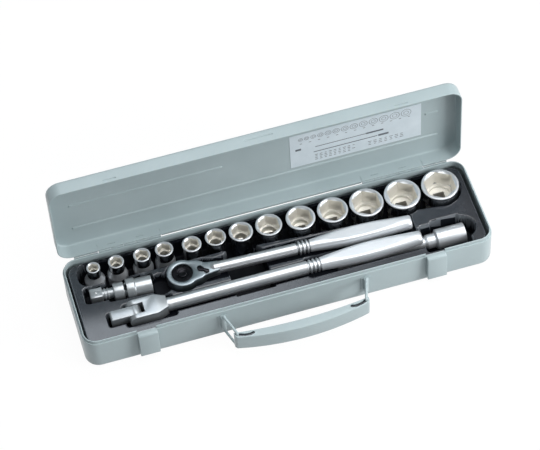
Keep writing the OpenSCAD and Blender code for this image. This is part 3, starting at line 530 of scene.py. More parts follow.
def makeLabel():
    z = case["lidTop"] - case["sheet"]
    bm = block((label["length"], label["width"], label["thick"]),
               (label["x"], label["y"], z - label["thick"] / 2))
    placed(bm, opened())
    finishPiece("labelSheet", bm, "case_lid", labelPaper, ["label"])
    bm = bmesh.new()
    front = z - label["thick"] - 0.04

    def onLabel(x, y):
        # x and y from the label's lower left corner as seen when the lid is open
        return label["x"] - label["length"] / 2 + x, label["y"] + label["width"] / 2 - y, front

    def mark(x, y, w, h):
        made = bmesh.ops.create_cube(bm, size=1)["verts"]
        bmesh.ops.scale(bm, vec=(w, h, label["ink"]), verts=made)
        bmesh.ops.translate(bm, vec=onLabel(x, y), verts=made)

    def disc(x, y, r, hole):
        # a circle round a hexagon, each a thin line
        for radius, segments in ((r, 24), (hole, 6)):
            before = set(bm.verts)
            bmesh.ops.create_circle(bm, segments=segments, radius=radius)
            ring = [v for v in bm.verts if v not in before]
            place = onLabel(x, y)
            bmesh.ops.translate(bm, vec=place, verts=ring)
            edges = list({e for v in ring for e in v.link_edges})
            bmesh.ops.extrude_edge_only(bm, edges=edges)
            fresh = [v for v in bm.verts if v not in before and v not in ring]
            centre = Vector(place)
            for v in fresh:
                v.co = centre + (v.co - centre) * (1 - 0.5 / radius)
    x = 10
    for k in range(13):
        r = 2.6 + 0.28 * k
        disc(x + r, 46, r, r * 0.55)
        x += 2 * r + 1.6
        mark(13 + 10.4 * k, 38.5, 2.6, 0.8)
    # small block, then two long tools
    for bar in ((9.5, 29, 6.5, 3.2), (60, 27.5, 62, 1.0), (98, 27.5, 20, 2.4),
                (64, 19, 74, 1.2), (108, 19, 12, 3.0)):
        mark(*bar)
    for row in range(4):
        for k in range(9 - row % 2):
            mark(30 + 5.4 * k, 13.5 - 2.8 * row, 3.4 - (k * 7 + row * 5) % 3 * 0.6, 0.8)
    for row in range(3):
        for k in range(7):
            mark(92 + 6.2 * k, 12 - 2.8 * row, 4.2 - (k * 5 + row * 3) % 4 * 0.6, 0.8)
    placed(bm, opened())
    finishPiece("labelPrint", bm, "case_lid", labelInk)


makeTray()
makeLid()
makeLabel()
print("stage: case")


# insert
# cell: mesh size; slope: width of a pocket's wall, of which the share outward lies outside the pocket;
# highlightFrom to highlightTo: the band round a pocket's edge that is painted lighter as a highlight
# shadeFrom: how far below the top the pockets are painted darker as shade
insert = dict(top=37, halfW=228.5, front=-52.5, rear=54.5, corner=12, low=1.3, cell=0.72, slope=2.2,
              outward=0.66, lipRound=0.9, highlightFrom=0.3, highlightTo=1.8, shadeFrom=3, seatGap=0.25, room=2,
              fingerFloor=10,
              troughLeft=-218, troughGaps=[4.5, 4.5, 4.5, 4.5, 2.2, 2, 1.2, 1.2, 1.2, 1.4, 1.4, 1.4, 1.4],
              recess=(-57, -14.5))


def smoothStep(t):
    t = np.clip(t, 0, 1)
    return t * t * (3 - 2 * t)


def boxDistance(x, y, x0, x1, y0, y1, r):
    # signed distance to a rounded rectangle, negative inside
    dx = np.abs(x - (x0 + x1) / 2) - (x1 - x0) / 2 + r
    dy = np.abs(y - (y0 + y1) / 2) - (y1 - y0) / 2 + r
    outside = np.hypot(np.maximum(dx, 0), np.maximum(dy, 0))
    return outside + np.minimum(np.maximum(dx, dy), 0) - r


def discDistance(x, y, cx, cy, r):
    return np.hypot(x - cx, y - cy) - r


def localGrid(x, y, cx, cy, turn):
    # the same points in a tool's own frame
    c, s = math.cos(math.radians(turn)), math.sin(math.radians(turn))
    return (x - cx) * c + (y - cy) * s, -(x - cx) * s + (y - cy) * c


sockets = dict(
    flats=[10, 12, 13, 14, 15, 17, 19, 22, 24, 26, 29, 30, 32],
    hexWide=[15.1, 17.7, 19.1, 20.4, 21.8, 23.4, 27.1, 30, 33.3, 34.8, 38.6, 41.3, 42.5],
    baseWide=[23, 23, 23, 23, 22, 22, 24, 26, 28, 28, 30, 32, 32],
    length=38.5, square=12.9, squareTop=15, floor=7, rimDepth=1.6)
ratchet = dict(x=-108, y=4.2, z=38, turn=-1.8, headR=17.5, top=6, low=-8.5, rotorR=11.2, leverAt=20,
               leverTurn=-39, leverReach=9.4, leverHub=3.2, leverTip=2.2, plateEnd=25, neckDrop=1.2,
               length=262, shankR=6.7)
flex = dict(x=-170, y=-27.5, z=38, length=328, shaftR=7.5, forkW=24.6, forkH=8.3, pinR=2.6, tip=28, endR=8.2)
grips = dict(halfW=11, halfT=7.5, endR=7.8, length=117, ringR=8, pitch=4.4, groove=1.3)
jointTool = dict(x=-166.5, y=8.7, z=33, turn=-3, bandR=12, endR=10.3, socketLen=24, squareLen=45.3,
                 tipRoom=3.5)
extension = dict(x=59, y=-26.2, z=23.5, length=150, endR=11.5, shaftR=6.3, head=33, collarR=8.2)
drive = 12.7
blunt = 0.68  # distance from a square's middle to its blunted corners, as a share of its side


def socketPlace(i):
    # middle, underside and largest radius of a socket, read from its solid
    low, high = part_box(f"socket_{sockets['flats'][i]}")
    return (low.x + high.x) / 2 / mm, (low.y + high.y) / 2 / mm, low.z / mm, (high.x - low.x) / 2 / mm


def outlineDistance(x, y, points):
    # signed distance to a closed outline, negative inside
    nearest = np.full_like(x, 1e9)
    inside = np.zeros(x.shape, bool)
    for (ax, ay), (bx, by) in zip(points, points[1:] + points[:1]):
        dx, dy = bx - ax, by - ay
        t = np.clip(((x - ax) * dx + (y - ay) * dy) / (dx * dx + dy * dy), 0, 1)
        nearest = np.minimum(nearest, np.hypot(x - ax - t * dx, y - ay - t * dy))
        if dy:
            inside ^= ((ay > y) != (by > y)) & (x < ax + dx * (y - ay) / dy)
    return np.where(inside, -nearest, nearest)


def troughDistance(x, y):
    # the sockets' common pocket: a stepped front, a straight rear and a disc round each
    rows = [socketPlace(i) for i in range(len(sockets["flats"]))]
    left, rear = insert["troughLeft"], insert["rear"] - 1.6
    front = [(cx, cy - r - gap) for (cx, cy, z, r), gap in zip(rows, insert["troughGaps"])]
    low = front[0][1]
    outline = [(front[-1][0], rear), (left + 12, rear), (left + 12, low)] + front[:-1]
    outline += [(front[-2][0] + 12, front[-2][1] + 3), (front[-1][0] - 18, front[-1][1] + 3), front[-1]]
    parts = [outlineDistance(x, y, outline), boxDistance(x, y, left, left + 36, low, rear, 12)]
    parts += [discDistance(x, y, cx, cy, r + 1.4) for cx, cy, z, r in rows]
    return np.minimum.reduce(parts)


def pocketDepths(x, y):
    # (signed distance, floor height) of every pocket
    pockets = [(troughDistance(x, y), sockets["floor"])]
    u, v = localGrid(x, y, ratchet["x"], ratchet["y"], ratchet["turn"])
    gap, room = insert["seatGap"], insert["room"]
    seat = ratchet["z"] + ratchet["low"] - gap
    neckPlan = [(0, 17.2), (24.5, 17.4), (38.3, 13.7), (49, 14.8), (49, -13), (24.5, -13), (17, -15.5),
                (0, -15.5)]
    pockets.append((discDistance(u, v, 0, 0, ratchet["headR"] + room), seat))
    pockets.append((outlineDistance(u, v, neckPlan), seat))
    pockets.append((discDistance(u, v, -ratchet["headR"] - 8, -3, 13), seat - 6))
    pockets.append((discDistance(u, v, 0, 0, drive * 0.75), seat - 14))
    gripSeat = ratchet["z"] - grips["ringR"] - gap
    pockets.append((boxDistance(u, v, 40, ratchet["length"] + room, -11.5, 11.5, 4), gripSeat))
    pockets.append((boxDistance(u, v, 190, ratchet["length"] + room, -16.5, 0, 4), gripSeat))
    u, v = x - flex["x"], y - flex["y"]
    half, tip = flex["forkW"] / 2 + room, drive / 2 + room
    pockets.append((boxDistance(u, v, -12, 44, -half, half, 3), flex["z"] - flex["forkH"] - gap))
    pockets.append((boxDistance(u, v, -flex["tip"] - room, 10, -tip, tip, 2), flex["z"] - flex["tip"] - 1.5))
    gripAt = flex["length"] - grips["length"]
    pockets.append((boxDistance(u, v, 40, gripAt - 8, -9.5, 9.5, 3), gripSeat))
    pockets.append((boxDistance(u, v, gripAt - 16, flex["length"] + room, -13, 13, 4), gripSeat))
    u, v = localGrid(x, y, jointTool["x"], jointTool["y"], jointTool["turn"])
    jointSeat = jointTool["z"] - jointTool["bandR"] - gap
    half = drive / 2 + jointTool["tipRoom"]
    pockets.append((boxDistance(u, v, -25, jointTool["socketLen"] + room, -13, 13, 2), jointSeat))
    pockets.append((boxDistance(u, v, -jointTool["squareLen"] - 5.7, -20, -half, half, 3), jointSeat))
    u, v = x - extension["x"], y - extension["y"]
    long = extension["length"]
    head = long - extension["head"]
    endSeat = extension["z"] - extension["endR"] - gap
    headPlan = [(head - 6, 10), (head - 1, 15.9), (long - 5, 16.3), (long + room, 11), (long, 0), (head, 0)]
    shaftSeat = extension["z"] - extension["shaftR"] - 0.4
    pockets.append((boxDistance(u, v, -room, head + 1, -9.4, 9.4, 3), shaftSeat))
    pockets.append((boxDistance(u, v, head - 16, long + room, -22, 13.5, 3), endSeat))
    pockets.append((outlineDistance(u, v, headPlan), endSeat))
    pockets.append((discDistance(u, v, long - 2, -0.8, 13.2), insert["fingerFloor"]))
    left, right = insert["recess"]
    recess = [(left, flex["y"] - 11), (left, 17.5), (left + 5, 22.3), (left + 15, 24.4), (right - 17, 21.4),
              (right - 5, 18.9), (right, 12.3), (right, flex["y"] - 11)]
    pockets.append((outlineDistance(x, y, recess), insert["fingerFloor"]))
    return pockets


def planDistance(x, y):
    # the insert's own outline
    half, front, rear = insert["halfW"], insert["front"], insert["rear"]
    return boxDistance(x, y, -half, half, front, rear, insert["corner"])


def insertHeight(x, y, pockets):
    # flat top, sunk where a pocket is and rounded off at the rim
    height = np.full_like(x, float(insert["top"]))
    for distance, floor in pockets:
        depth = insert["top"] - floor
        wall = smoothStep((insert["slope"] * insert["outward"] - distance) / insert["slope"])
        height = np.minimum(height, insert["top"] - depth * wall)
    rounding = insert["lipRound"]
    drop = np.clip((planDistance(x, y) + rounding) / rounding, 0, 1)
    return height - rounding * (1 - np.sqrt(1 - drop ** 2))


def makeInsert():
    width, depth = 2 * insert["halfW"], insert["rear"] - insert["front"]
    columns, rows = int(width / insert["cell"]), int(depth / insert["cell"])
    bm = bmesh.new()
    bmesh.ops.create_grid(bm, x_segments=columns, y_segments=rows, size=0.5)
    middle = (insert["front"] + insert["rear"]) / 2
    co = np.array([vert.co[:2] for vert in bm.verts])
    x, y = co[:, 0] * width, co[:, 1] * depth + middle
    # rounds the plan's corners by pulling corner vertices in along their diagonal
    r = insert["corner"]
    cx, cy = insert["halfW"] - r, depth / 2 - r
    ax, ay = np.abs(x) - cx, np.abs(y - middle) - cy
    inCorner = (ax > 0) & (ay > 0)
    reach = np.maximum(np.maximum(ax, ay), 1e-9)
    squeeze = np.where(inCorner, reach / np.maximum(np.hypot(ax, ay), 1e-9), 1)
    x = np.where(inCorner, np.sign(x) * (cx + ax * squeeze), x)
    y = np.where(inCorner, middle + np.sign(y - middle) * (cy + ay * squeeze), y)
    pockets = pocketDepths(x, y)
    z = insertHeight(x, y, pockets)
    nearest = np.minimum.reduce([distance for distance, floor in pockets])
    outer = -planDistance(x, y)
    nearest = np.where(nearest > 0, np.minimum(nearest, np.maximum(outer, 0)), nearest)
    # a band round each pocket's edge, painted lighter as a highlight
    onLipHighlight = (nearest > insert["highlightFrom"]) & (nearest < insert["highlightTo"])
    for vert, px, py, pz in zip(bm.verts, x, y, z):
        vert.co = (px, py, pz)
    bm.verts.index_update()
    for face in bm.faces:
        if sum(onLipHighlight[vert.index] for vert in face.verts) >= 3:
            face.material_index = 1
        # faces deep in the pockets get the painted shade
        elif face.calc_center_median().z < insert["top"] - insert["shadeFrom"]:
            face.material_index = 2
    rim = [e for e in bm.edges if e.is_boundary]
    found = bmesh.ops.extrude_edge_only(bm, edges=rim)["geom"]
    for vert in found:
        if isinstance(vert, bmesh.types.BMVert):
            vert.co.z = insert["low"]
    bmesh.ops.contextual_create(bm, geom=[e for e in bm.edges if e.is_boundary])
    finishPiece("insertTray", bm, "case_tray", insertPlastic, ["insert"], sharp=85,
                extra=[insertLipHighlight, insertDeepShade])


makeInsert()
print("stage: insert")


# sockets
def makeSocket(i):
    name = f"socket_{sockets['flats'][i]}"
    cx, cy, z0, r = socketPlace(i)
    af, top = sockets["flats"][i], sockets["hexWide"][i] / 2
    base, length = sockets["baseWide"][i] / 2, sockets["length"]
    hexCorner = af / 2 / math.cos(math.pi / 6)
    baseTop = length * 0.42
    flared = base > top + 0.5
    cone = 9 if flared else max(0.8, abs(top - base))
    depth = min(length * 0.55, af * 0.55 + 4)
    squareTop = sockets["squareTop"]
    n = 96 if top > 11 else 72
    step = base - top
    flare = [(baseTop + 3, base - 0.52 * step, 3), (baseTop + 6, base - 0.85 * step, 3)] if flared else []
    outer = fillet([
        (0, base - 1.6), (0, base, 0.7), (baseTop, base, 0.8), *flare, (baseTop + cone, top, 1.2),
        (length, top, 1.3), (length, hexCorner + 0.5)
    ], 5)
    hexagon = polygonRadius(6, af, hexCorner - 0.25)
    loose = polygonRadius(6, af + 0.5, hexCorner + 0.2)
    bore = roundRadius(af * 0.41)
    square = polygonRadius(4, sockets["square"], sockets["square"] * blunt)
    rings = [uprightRing(z, roundRadius(rr), n) for z, rr in outer]
    rings.append(uprightRing(length - 0.5, roundRadius(hexCorner + 0.1), n))
    rings.append(uprightRing(length - 1.3, loose, n))
    rings.append(uprightRing(length - 2.0, hexagon, n))
    rings.append(uprightRing(length - depth + 0.3, hexagon, n))
    rings.append(uprightRing(length - depth, lambda a: hexagon(a) - 0.3, n))
    rings.append(uprightRing(length - depth, lambda a: bore(a) + 0.4, n))
    rings.append(uprightRing(length - depth - 0.4, bore, n))
    rings.append(uprightRing(squareTop - 0.6, bore, n))
    rings.append(uprightRing(squareTop - 1, lambda a: min(bore(a), square(a)), n))
    rings.append(uprightRing(0.6, square, n))
    rings.append(uprightRing(0, lambda a: square(a) + 0.5, n))
    bm = bmesh.new()
    loftRings(bm, rings, closed=True)
    # the inside is warm nickel and the rim bright satin; the wall takes a darker chrome whose lower colour is
    # a painted dark reflection, and the flared foot takes bright satin as a painted highlight
    for face in bm.faces:
        middle = face.calc_center_median()
        inside = middle.xy.length < hexCorner - 0.05
        onRim = middle.z > length - sockets["rimDepth"]
        # the flared foot is painted lighter as a highlight
        flareHighlight = flared and middle.z < baseTop + cone - 1 and not inside
        if inside and 1 < middle.z < length - 1.4:
            face.material_index = 1
        elif onRim or flareHighlight:
            face.material_index = 2
    placed(bm, Matrix.Translation((cx, cy, z0)))
    finishPiece(f"{name}_turned", bm, name, shadedWallChrome, [name], sharp=32,
                extra=[warmNickel, brightSatin])


for i in range(len(sockets["flats"])):
    makeSocket(i)
print("stage: sockets")


# the two handles
def gripRings(x0, startR, segments=64):
    # a swelling round bar, pressed flat above and below
    wide, length, thick = grips["halfW"], grips["length"], grips["halfT"]
    middle = length * 0.45
    grow = wide - startR
    profile = [(0, startR), (middle * 0.3, startR + grow * 0.45), (middle * 0.65, startR + grow * 0.82),
               (middle, wide), (length * 0.63, wide - 0.5), (length - 1.5, grips["endR"])]
    xs = np.linspace(0, length - 1.6, 30)
    radii = np.interp(xs, [p[0] for p in profile], [p[1] for p in profile])
    radii = np.convolve(np.pad(radii, 2, mode="edge"), np.ones(5) / 5, mode="valid")
    endR = grips["endR"]
    stations = list(zip(xs, radii))
    stations += [(length - 0.8, endR - 0.35), (length - 0.2, endR - 1.1), (length, endR - 2.2)]
    rings = []
    for x, r in stations:
        ring = []
        limit = min(thick, max(r - 0.15, 1)) if x > 2 else r
        for k in range(segments):
            angle = tau * k / segments
            y, z = r * math.cos(angle), r * math.sin(angle)
            z = z / (1 + (abs(z) / (limit + 0.35)) ** 9) ** (1 / 9)
            z = max(-limit, min(limit, z))
            ring.append(Vector((x0 + x, y, z)))
        rings.append(ring)
    return rings


def ringBand(x, low, wide=2.6):
    # one raised ring with rounded shoulders
    r = grips["ringR"]
    return [(x, low), (x + 0.1, r, 0.8), (x + wide - 0.1, r, 0.8), (x + wide, low)]


def shaftProfile(x0, x1, r):
    # plain shaft that ends in three rings before the grip
    pitch, low = grips["pitch"], r - grips["groove"]
    start = x1 - 3 * pitch
    profile = [(x0, r), (start - 2.0, r, 0.4), (start - 1.2, low, 0.3)]
    for k in range(3):
        profile += ringBand(start + k * pitch, low)
    return profile + [(x1 - 0.9, low, 0.3), (x1, r)]


def outlineRadius(points):
    # distance from the origin to a closed outline at an angle
    def radiusAt(angle):
        direction = Vector((math.cos(angle), math.sin(angle)))
        best = 0.0
        for a, b in zip(points, points[1:] + points[:1]):
            a, b = Vector(a), Vector(b)
            side = b - a
            cross = direction.cross(side)
            if abs(cross) < 1e-9:
                continue
            t = a.cross(side) / cross
            u = a.cross(direction) / cross
            if t > 0 and -1e-6 <= u <= 1 + 1e-6:
                best = max(best, t)
        return best
    return radiusAt


def makeRatchet():
    place = toolFrame(ratchet["x"], ratchet["y"], ratchet["z"], ratchet["turn"])
    r, low, top = ratchet["headR"], ratchet["low"], ratchet["top"]
    rotor, plateEnd = ratchet["rotorR"], ratchet["plateEnd"]
    front = arc(0, r, math.radians(56), math.radians(304), 60)
    side = [(13, 13.4), (18.8, 12.3), (21.4, 10.9), (23.5, 9.7), (plateEnd, 9.2)]
    head = outlineRadius(front + [(x, -y) for x, y in side] + side[::-1])
    n = 160
    rings = []
    for z, shrink in fillet([(low, 3.0), (low, 0, 1.6), (top, 0, 2.6), (top, 3.0)], 6):
        rings.append(uprightRing(z, lambda a, s=shrink: head(a) - s, n))
    rings.append(uprightRing(top, roundRadius(rotor + 1.5), n))
    rings.append(uprightRing(top - 0.25, roundRadius(rotor + 1.1), n))
    rings.append(uprightRing(top - 0.9, roundRadius(rotor + 0.5), n))
    rings.append(uprightRing(top - 3.4, roundRadius(rotor + 0.5), n))
    bm = bmesh.new()
    loftRings(bm, rings, capStart=True, capEnd=True)
    neck = bmesh.new()
    side = [(21, 10.0), (23.5, 9.2), (28, 8.2), (33.5, 7.2), (42, 6.2)]
    plate(neck, side[::-1] + [(x, -y) for x, y in side], low + 1.6, top - ratchet["neckDrop"])
    softenEdges(neck, 1.5, 4)
    joinInto(bm, neck)
    placed(bm, place)
    finishPiece("ratchetHead", bm, "ratchet", satinSteel, ["ratchet_handle"])
    bm = bmesh.new()
    gripAt = ratchet["length"] - grips["length"]
    shank = ratchet["shankR"]
    turned(bm, [(31.6, 0), (31.6, 5.2, 0.5), (35.5, shank, 1.5)] + shaftProfile(45, gripAt, shank))
    placed(bm, place)
    finishPiece("ratchetShank", bm, "ratchet", chrome)
    bm = bmesh.new()
    loftRings(bm, gripRings(gripAt, shank), capStart=True, capEnd=True)
    placed(bm, place)
    finishPiece("ratchetGrip", bm, "ratchet", brightSatin)


def makeRatchetTop():
    upright = Matrix.Rotation(-math.pi / 2, 4, "Y")
    head = toolFrame(ratchet["x"], ratchet["y"], ratchet["z"], ratchet["turn"])
    place = head @ upright
    rotor, top = ratchet["rotorR"], ratchet["top"]
    ringIn, ringOut = rotor - 0.6, rotor + 0.4
    parts = [
        ("ratchetCoverDisc", "ratchet_cover",
         [(3.65, 5.2), (3.65, 5.2), (4.45, 5.25, 0.2), (4.55, 6.6, 0.2), (5.05, 7.3, 0.4), (5.05, 11.6),
          (3.65, 11.6), (3.65, 5.2)]),
        ("ratchetSnapRing", "ratchet_snap_ring",
         [(5.1, ringIn), (5.7, ringIn, 0.2), (5.7, ringOut, 0.2), (5.1, ringOut), (5.1, ringIn)]),
    ]
    for name, node, profile in parts:
        bm = bmesh.new()
        turned(bm, profile, 72)
        placed(bm, place)
        finishPiece(name, bm, "ratchet", blackOxide, [node])
    bm = bmesh.new()
    turned(bm, [(2.0, 0), (2.0, 5.0), (5.4, 5.0, 0.7), (5.2, 3.6, 0.6), (4.7, 0)], 64)
    turned(bm, [(-11.9, 0), (-11.9, 2.0, 0.4), (2.1, 2.0), (2.1, 0)], 32)
    placed(bm, place)
    finishPiece("ratchetButtonTurned", bm, "button", blackOxide, ["ratchet_button"])
    bm = bmesh.new()
    # round hub, narrow waist and round end
    outline = arc(0, ratchet["leverHub"], math.radians(50), math.radians(310), 22) + [(5.0, -1.6)]
    outline += arc(ratchet["leverReach"], ratchet["leverTip"], -math.pi / 2, math.pi / 2, 12) + [(5.0, 1.6)]
    plate(bm, outline, top + 0.2, top + 2.1)
    softenEdges(bm, 0.5)
    leverPlace = head @ toolFrame(ratchet["leverAt"], 0, 0, ratchet["leverTurn"])
    placed(bm, leverPlace)
    finishPiece("leverTab", bm, "lever", blackOxide, ["ratchet_lever"])
    post = bmesh.new()
    turned(post, [(-7.1, 0), (-7.1, 2.0, 0.3), (top + 0.4, 2.0), (top + 0.4, 0)], 32)
    placed(post, leverPlace @ upright)
    finishPiece("leverPost", post, "lever", blackOxide)


makeRatchet()
makeRatchetTop()
print("stage: ratchet")


def makeFlex():
    place = toolFrame(flex["x"], flex["y"], flex["z"])
    half, high, end = flex["forkW"] / 2, flex["forkH"], flex["endR"]
    bm = bmesh.new()
    side = arc(0, end, math.pi / 2, 3 * math.pi / 2, 20)
    side += [(26, -high + 0.1), (36, -high + 0.6), (36, high - 0.6), (26, high - 0.1)]
    plate(bm, side, -half, half)
    placed(bm, Matrix.Rotation(math.pi / 2, 4, "X"))
    fork = rawObject("fork", bm)
    plan, neck = bmesh.new(), half - 5.2
    outline = [(-end - 2, -half), (24, -half), (36, -neck), (36, neck), (24, half), (-end - 2, half)]
    plate(plan, outline, -12, 12)
    carve(fork, rawObject("forkPlan", plan), "INTERSECT")
    carve(fork, rawObject("forkSlot", block((32, drive + 0.5, 30), (-6, 0, 0))))
    bm = toBmesh(fork)
    softenEdges(bm, 0.7)
    placed(bm, place)
    finishPiece("flexFork", bm, "flex", pearlChrome, ["flex_handle"])
    bm = bmesh.new()
    gripAt = flex["length"] - grips["length"]
    turned(bm, [(33.5, 0), (33.5, high - 0.8, 0.6), (38.5, high - 0.5, 1.5), (42, flex["shaftR"], 1.2)]
           + shaftProfile(46, gripAt, flex["shaftR"]))
    placed(bm, place)
    finishPiece("flexShaft", bm, "flex", chrome)
    bm = bmesh.new()
    loftRings(bm, gripRings(gripAt, grips["halfT"] - 0.1), capStart=True, capEnd=True)
    placed(bm, place)
    finishPiece("flexGrip", bm, "flex", brightSatin)
    bm = bmesh.new()
    sideways = Matrix.Rotation(math.pi / 2, 4, "Z")
    pin, pinEnd = flex["pinR"], half - 0.2
    turned(bm, [(-pinEnd, 0), (-pinEnd, pin, 0.5), (pinEnd, pin, 0.5), (pinEnd, 0)], 32)
    placed(bm, place @ sideways)
    finishPiece("flexPinTurned", bm, "flex", plainSteel, ["flex_pin"])
    bm = bmesh.new()
    tip, tongue, far, chamfer = drive / 2, drive / 2 + 0.5, -flex["tip"], 1.2
    side = arc(0, tongue, -math.pi / 2 - 0.3, math.pi / 2 + 0.3, 24)
    side += [(-4, tip), (far + chamfer, tip), (far, tip - chamfer), (far, -tip + chamfer),
             (far + chamfer, -tip), (-4, -tip)]
    plate(bm, side, -tip, tip)
    softenEdges(bm, 0.7, angle=22)
    placed(bm, place @ Matrix.Rotation(math.pi / 2, 4, "X"))
    finishPiece("flexTip", bm, "flex_tip", pearlChrome, ["flex_head"])


makeFlex()
print("stage: flex handle")


def makeJoint():
    place = toolFrame(jointTool["x"], jointTool["y"], jointTool["z"], jointTool["turn"])
    band, end, long = jointTool["bandR"], jointTool["endR"], jointTool["socketLen"]
    seat = band - 2.3
    n = 64
    square = polygonRadius(4, drive + 0.2, drive * blunt)
    profile = fillet([(-4.5, seat), (-4.5, band, 0.5), (4.5, band, 0.7), (5.4, end, 0.5), (long, end, 0.9),
                      (long, drive * blunt + 0.5)], 4)
    rings = [axialRing(x, roundRadius(r), n) for x, r in profile]
    rings.append(axialRing(long - 0.8, square, n))
    rings.append(axialRing(long - 13, square, n))
    bm = bmesh.new()
    loftRings(bm, rings, capEnd=True)
    inner = [(-4.5, seat), (0, seat), (4.5, seat * 0.86), (7.5, seat * 0.6), (8.6, 0)]
    turned(bm, inner, n)
    placed(bm, place)
    finishPiece("jointSocketEnd", bm, "joint_base", pearlChrome, ["joint_socket_end"])
    bm = bmesh.new()
    turned(bm, [(-19, 0), (-19, end - 0.4, 0.9), (-7.6, end - 0.4, 0.5), (-7.0, 8.0), (-6, 5), (-6, 0)], n)
    neck = [(-32, 0), (-32, 5.6)]
    for k in (1, 0):
        x = -26 - k * 3.6
        neck += [(x - 0.2, 5.6), (x, 6.6, 0.5), (x + 1.8, 6.6, 0.5), (x + 2.0, 5.6)]
    turned(bm, neck + [(-18, 5.6), (-18, 0)], n)
    long, tip = jointTool["squareLen"], drive / 2
    squareTip = polygonRadius(4, drive, drive * blunt)
    rings = [axialRing(x, lambda a, s=s: squareTip(a) - s, n)
             for x, s in [(-31.5, 0.6), (-32.2, 0), (-long + 1.4, 0), (-long + 0.4, 0.5), (-long, 1.4)]]
    loftRings(bm, rings, capStart=True, capEnd=True)
    # two ears, cut from a ball, that hold the cross
    ears = bmesh.new()
    bmesh.ops.create_uvsphere(ears, u_segments=48, v_segments=24, radius=seat - 0.4)
    ball = rawObject("ears", ears)
    carve(ball, rawObject("earBlock", block((14, 18.6, 9.2), (-3, 0, 0))), "INTERSECT")
    carve(ball, rawObject("earGap", block((14, 8.6, 20), (1, 0, 0))))
    joinInto(bm, toBmesh(ball))
    placed(bm, place)
    finishPiece("jointSquareEnd", bm, "joint_tip", pearlChrome, ["joint_square_end"])
    bm = bmesh.new()
    bmesh.ops.create_cube(bm, size=8)
    softenEdges(bm, 0.5)
    turned(bm, [(-8.7, 0), (-8.7, 1.8, 0.3), (8.7, 1.8, 0.3), (8.7, 0)], 32)
    placed(bm, Matrix.Rotation(math.pi / 2, 4, "Z"))
    pins = bmesh.new()
    turned(pins, [(-band + 0.2, 0), (-band + 0.2, 2.0, 0.4), (band - 0.2, 2.0, 0.4), (band - 0.2, 0)], 32)
    placed(pins, Matrix.Rotation(math.pi / 2, 4, "Y"))
    joinInto(bm, pins)
    placed(bm, place)
    finishPiece("jointSpiderBlock", bm, "joint_spider", plainSteel, ["joint_cross"])


def makeExtension():
    place = toolFrame(extension["x"], extension["y"], extension["z"])
    n = 64
    shaft, collar, end = extension["shaftR"], extension["collarR"], extension["endR"]
    long = extension["length"]
    head = long - extension["head"]
    squareTip = polygonRadius(4, drive, drive * blunt)
    hole = polygonRadius(4, drive + 0.2, drive * blunt)
    rings = [axialRing(x, lambda a, s=s: squareTip(a) - s, n)
             for x, s in [(0, 1.4), (0.4, 0.5), (1.4, 0), (14, 0), (15.5, 0.4)]]
    profile = fillet([(16, shaft - 0.2), (18, shaft, 0.5), (head - 14, shaft, 1.5), (head - 11, collar, 1),
                      (head - 2, collar, 0.6), (head, end, 0.8), (long, end, 0.9),
                      (long, drive * blunt + 0.5)], 4)
    rings += [axialRing(x, roundRadius(r), n) for x, r in profile]
    rings.append(axialRing(long - 0.8, hole, n))
    rings.append(axialRing(long - 15, hole, n))
    bm = bmesh.new()
    loftRings(bm, rings, capStart=True, capEnd=True)
    placed(bm, place)
    finishPiece("extensionTurned", bm, "extension", brightSatin, ["extension_bar"])


makeJoint()
makeExtension()
print("stage: joint and extension")


# latches and carry handle
latch = dict(width=22, out=8, low=8, top=45.5)


def makeLatches():
    front, out, low, top = case["front"], latch["out"], latch["low"], latch["top"]
    sheet = case["sheet"]
    for side, name in ((-1, "left"), (1, "right")):
        bm = bmesh.new()
        outline = [(front - 1, low + 2), (front - out + 2, low), (front - out, low + 2),
                   (front - out + 1.5, top - 1.5), (front - out + 3, top), (front - 1, top)]
        plate(bm, outline, -latch["width"] / 2, latch["width"] / 2)
        softenEdges(bm, 0.6)
        cover = rawObject("latchCover", bm)
        room = bmesh.new()
        inside = [(front + 2, low - 2), (front - out + 3.4, low - 2), (front - out + sheet, low + 2.4),
                  (front - out + 1.5 + sheet, top - 1.5 - sheet), (front - 2.2, top - sheet),
                  (front + 2, top - sheet)]
        plate(room, inside, -latch["width"] / 2 + sheet, latch["width"] / 2 - sheet)
        carve(cover, rawObject("latchRoom", room))
        bm = toBmesh(cover)
        # the outline's X, Y and Z become Y, Z and X
        turn = Matrix(((0, 0, 1, 0), (1, 0, 0, 0), (0, 1, 0, 0), (0, 0, 0, 1)))
        placed(bm, Matrix.Translation((side * case["latchX"], 0, 0)) @ turn)
        finishPiece(f"latchCover_{name}", bm, f"{name}_latch", casePaint, [f"latch_{name}"])


handle = dict(x=1.7, armX=81.6, armLen=27.6, lean=17.8, low=11.5, high=38.5, wire=1.5, bow=9.7, backBow=5.3,
              flange=6.5, fold=50, travel=18.3, slot=4.1, slotShadeGap=0.7, slotShadeThick=0.5, wireEnd=3.5)
handle["armY"] = case["front"] - handle["wire"] - 1.8
handle["pinY"] = handle["armY"] - handle["armLen"] * math.cos(math.radians(handle["lean"]))
handle["pinX"] = handle["armX"] - handle["armLen"] * math.sin(math.radians(handle["lean"]))
handle["back"] = handle["pinY"] + handle["slot"] / 2 + 1.25


def bowed(x, half, bow):
    # how far an arc through (half, 0) and (0, -bow) lies below zero at x
    radius = (half ** 2 + bow ** 2) / (2 * bow)
    return radius - bow - math.sqrt(radius ** 2 - x ** 2)


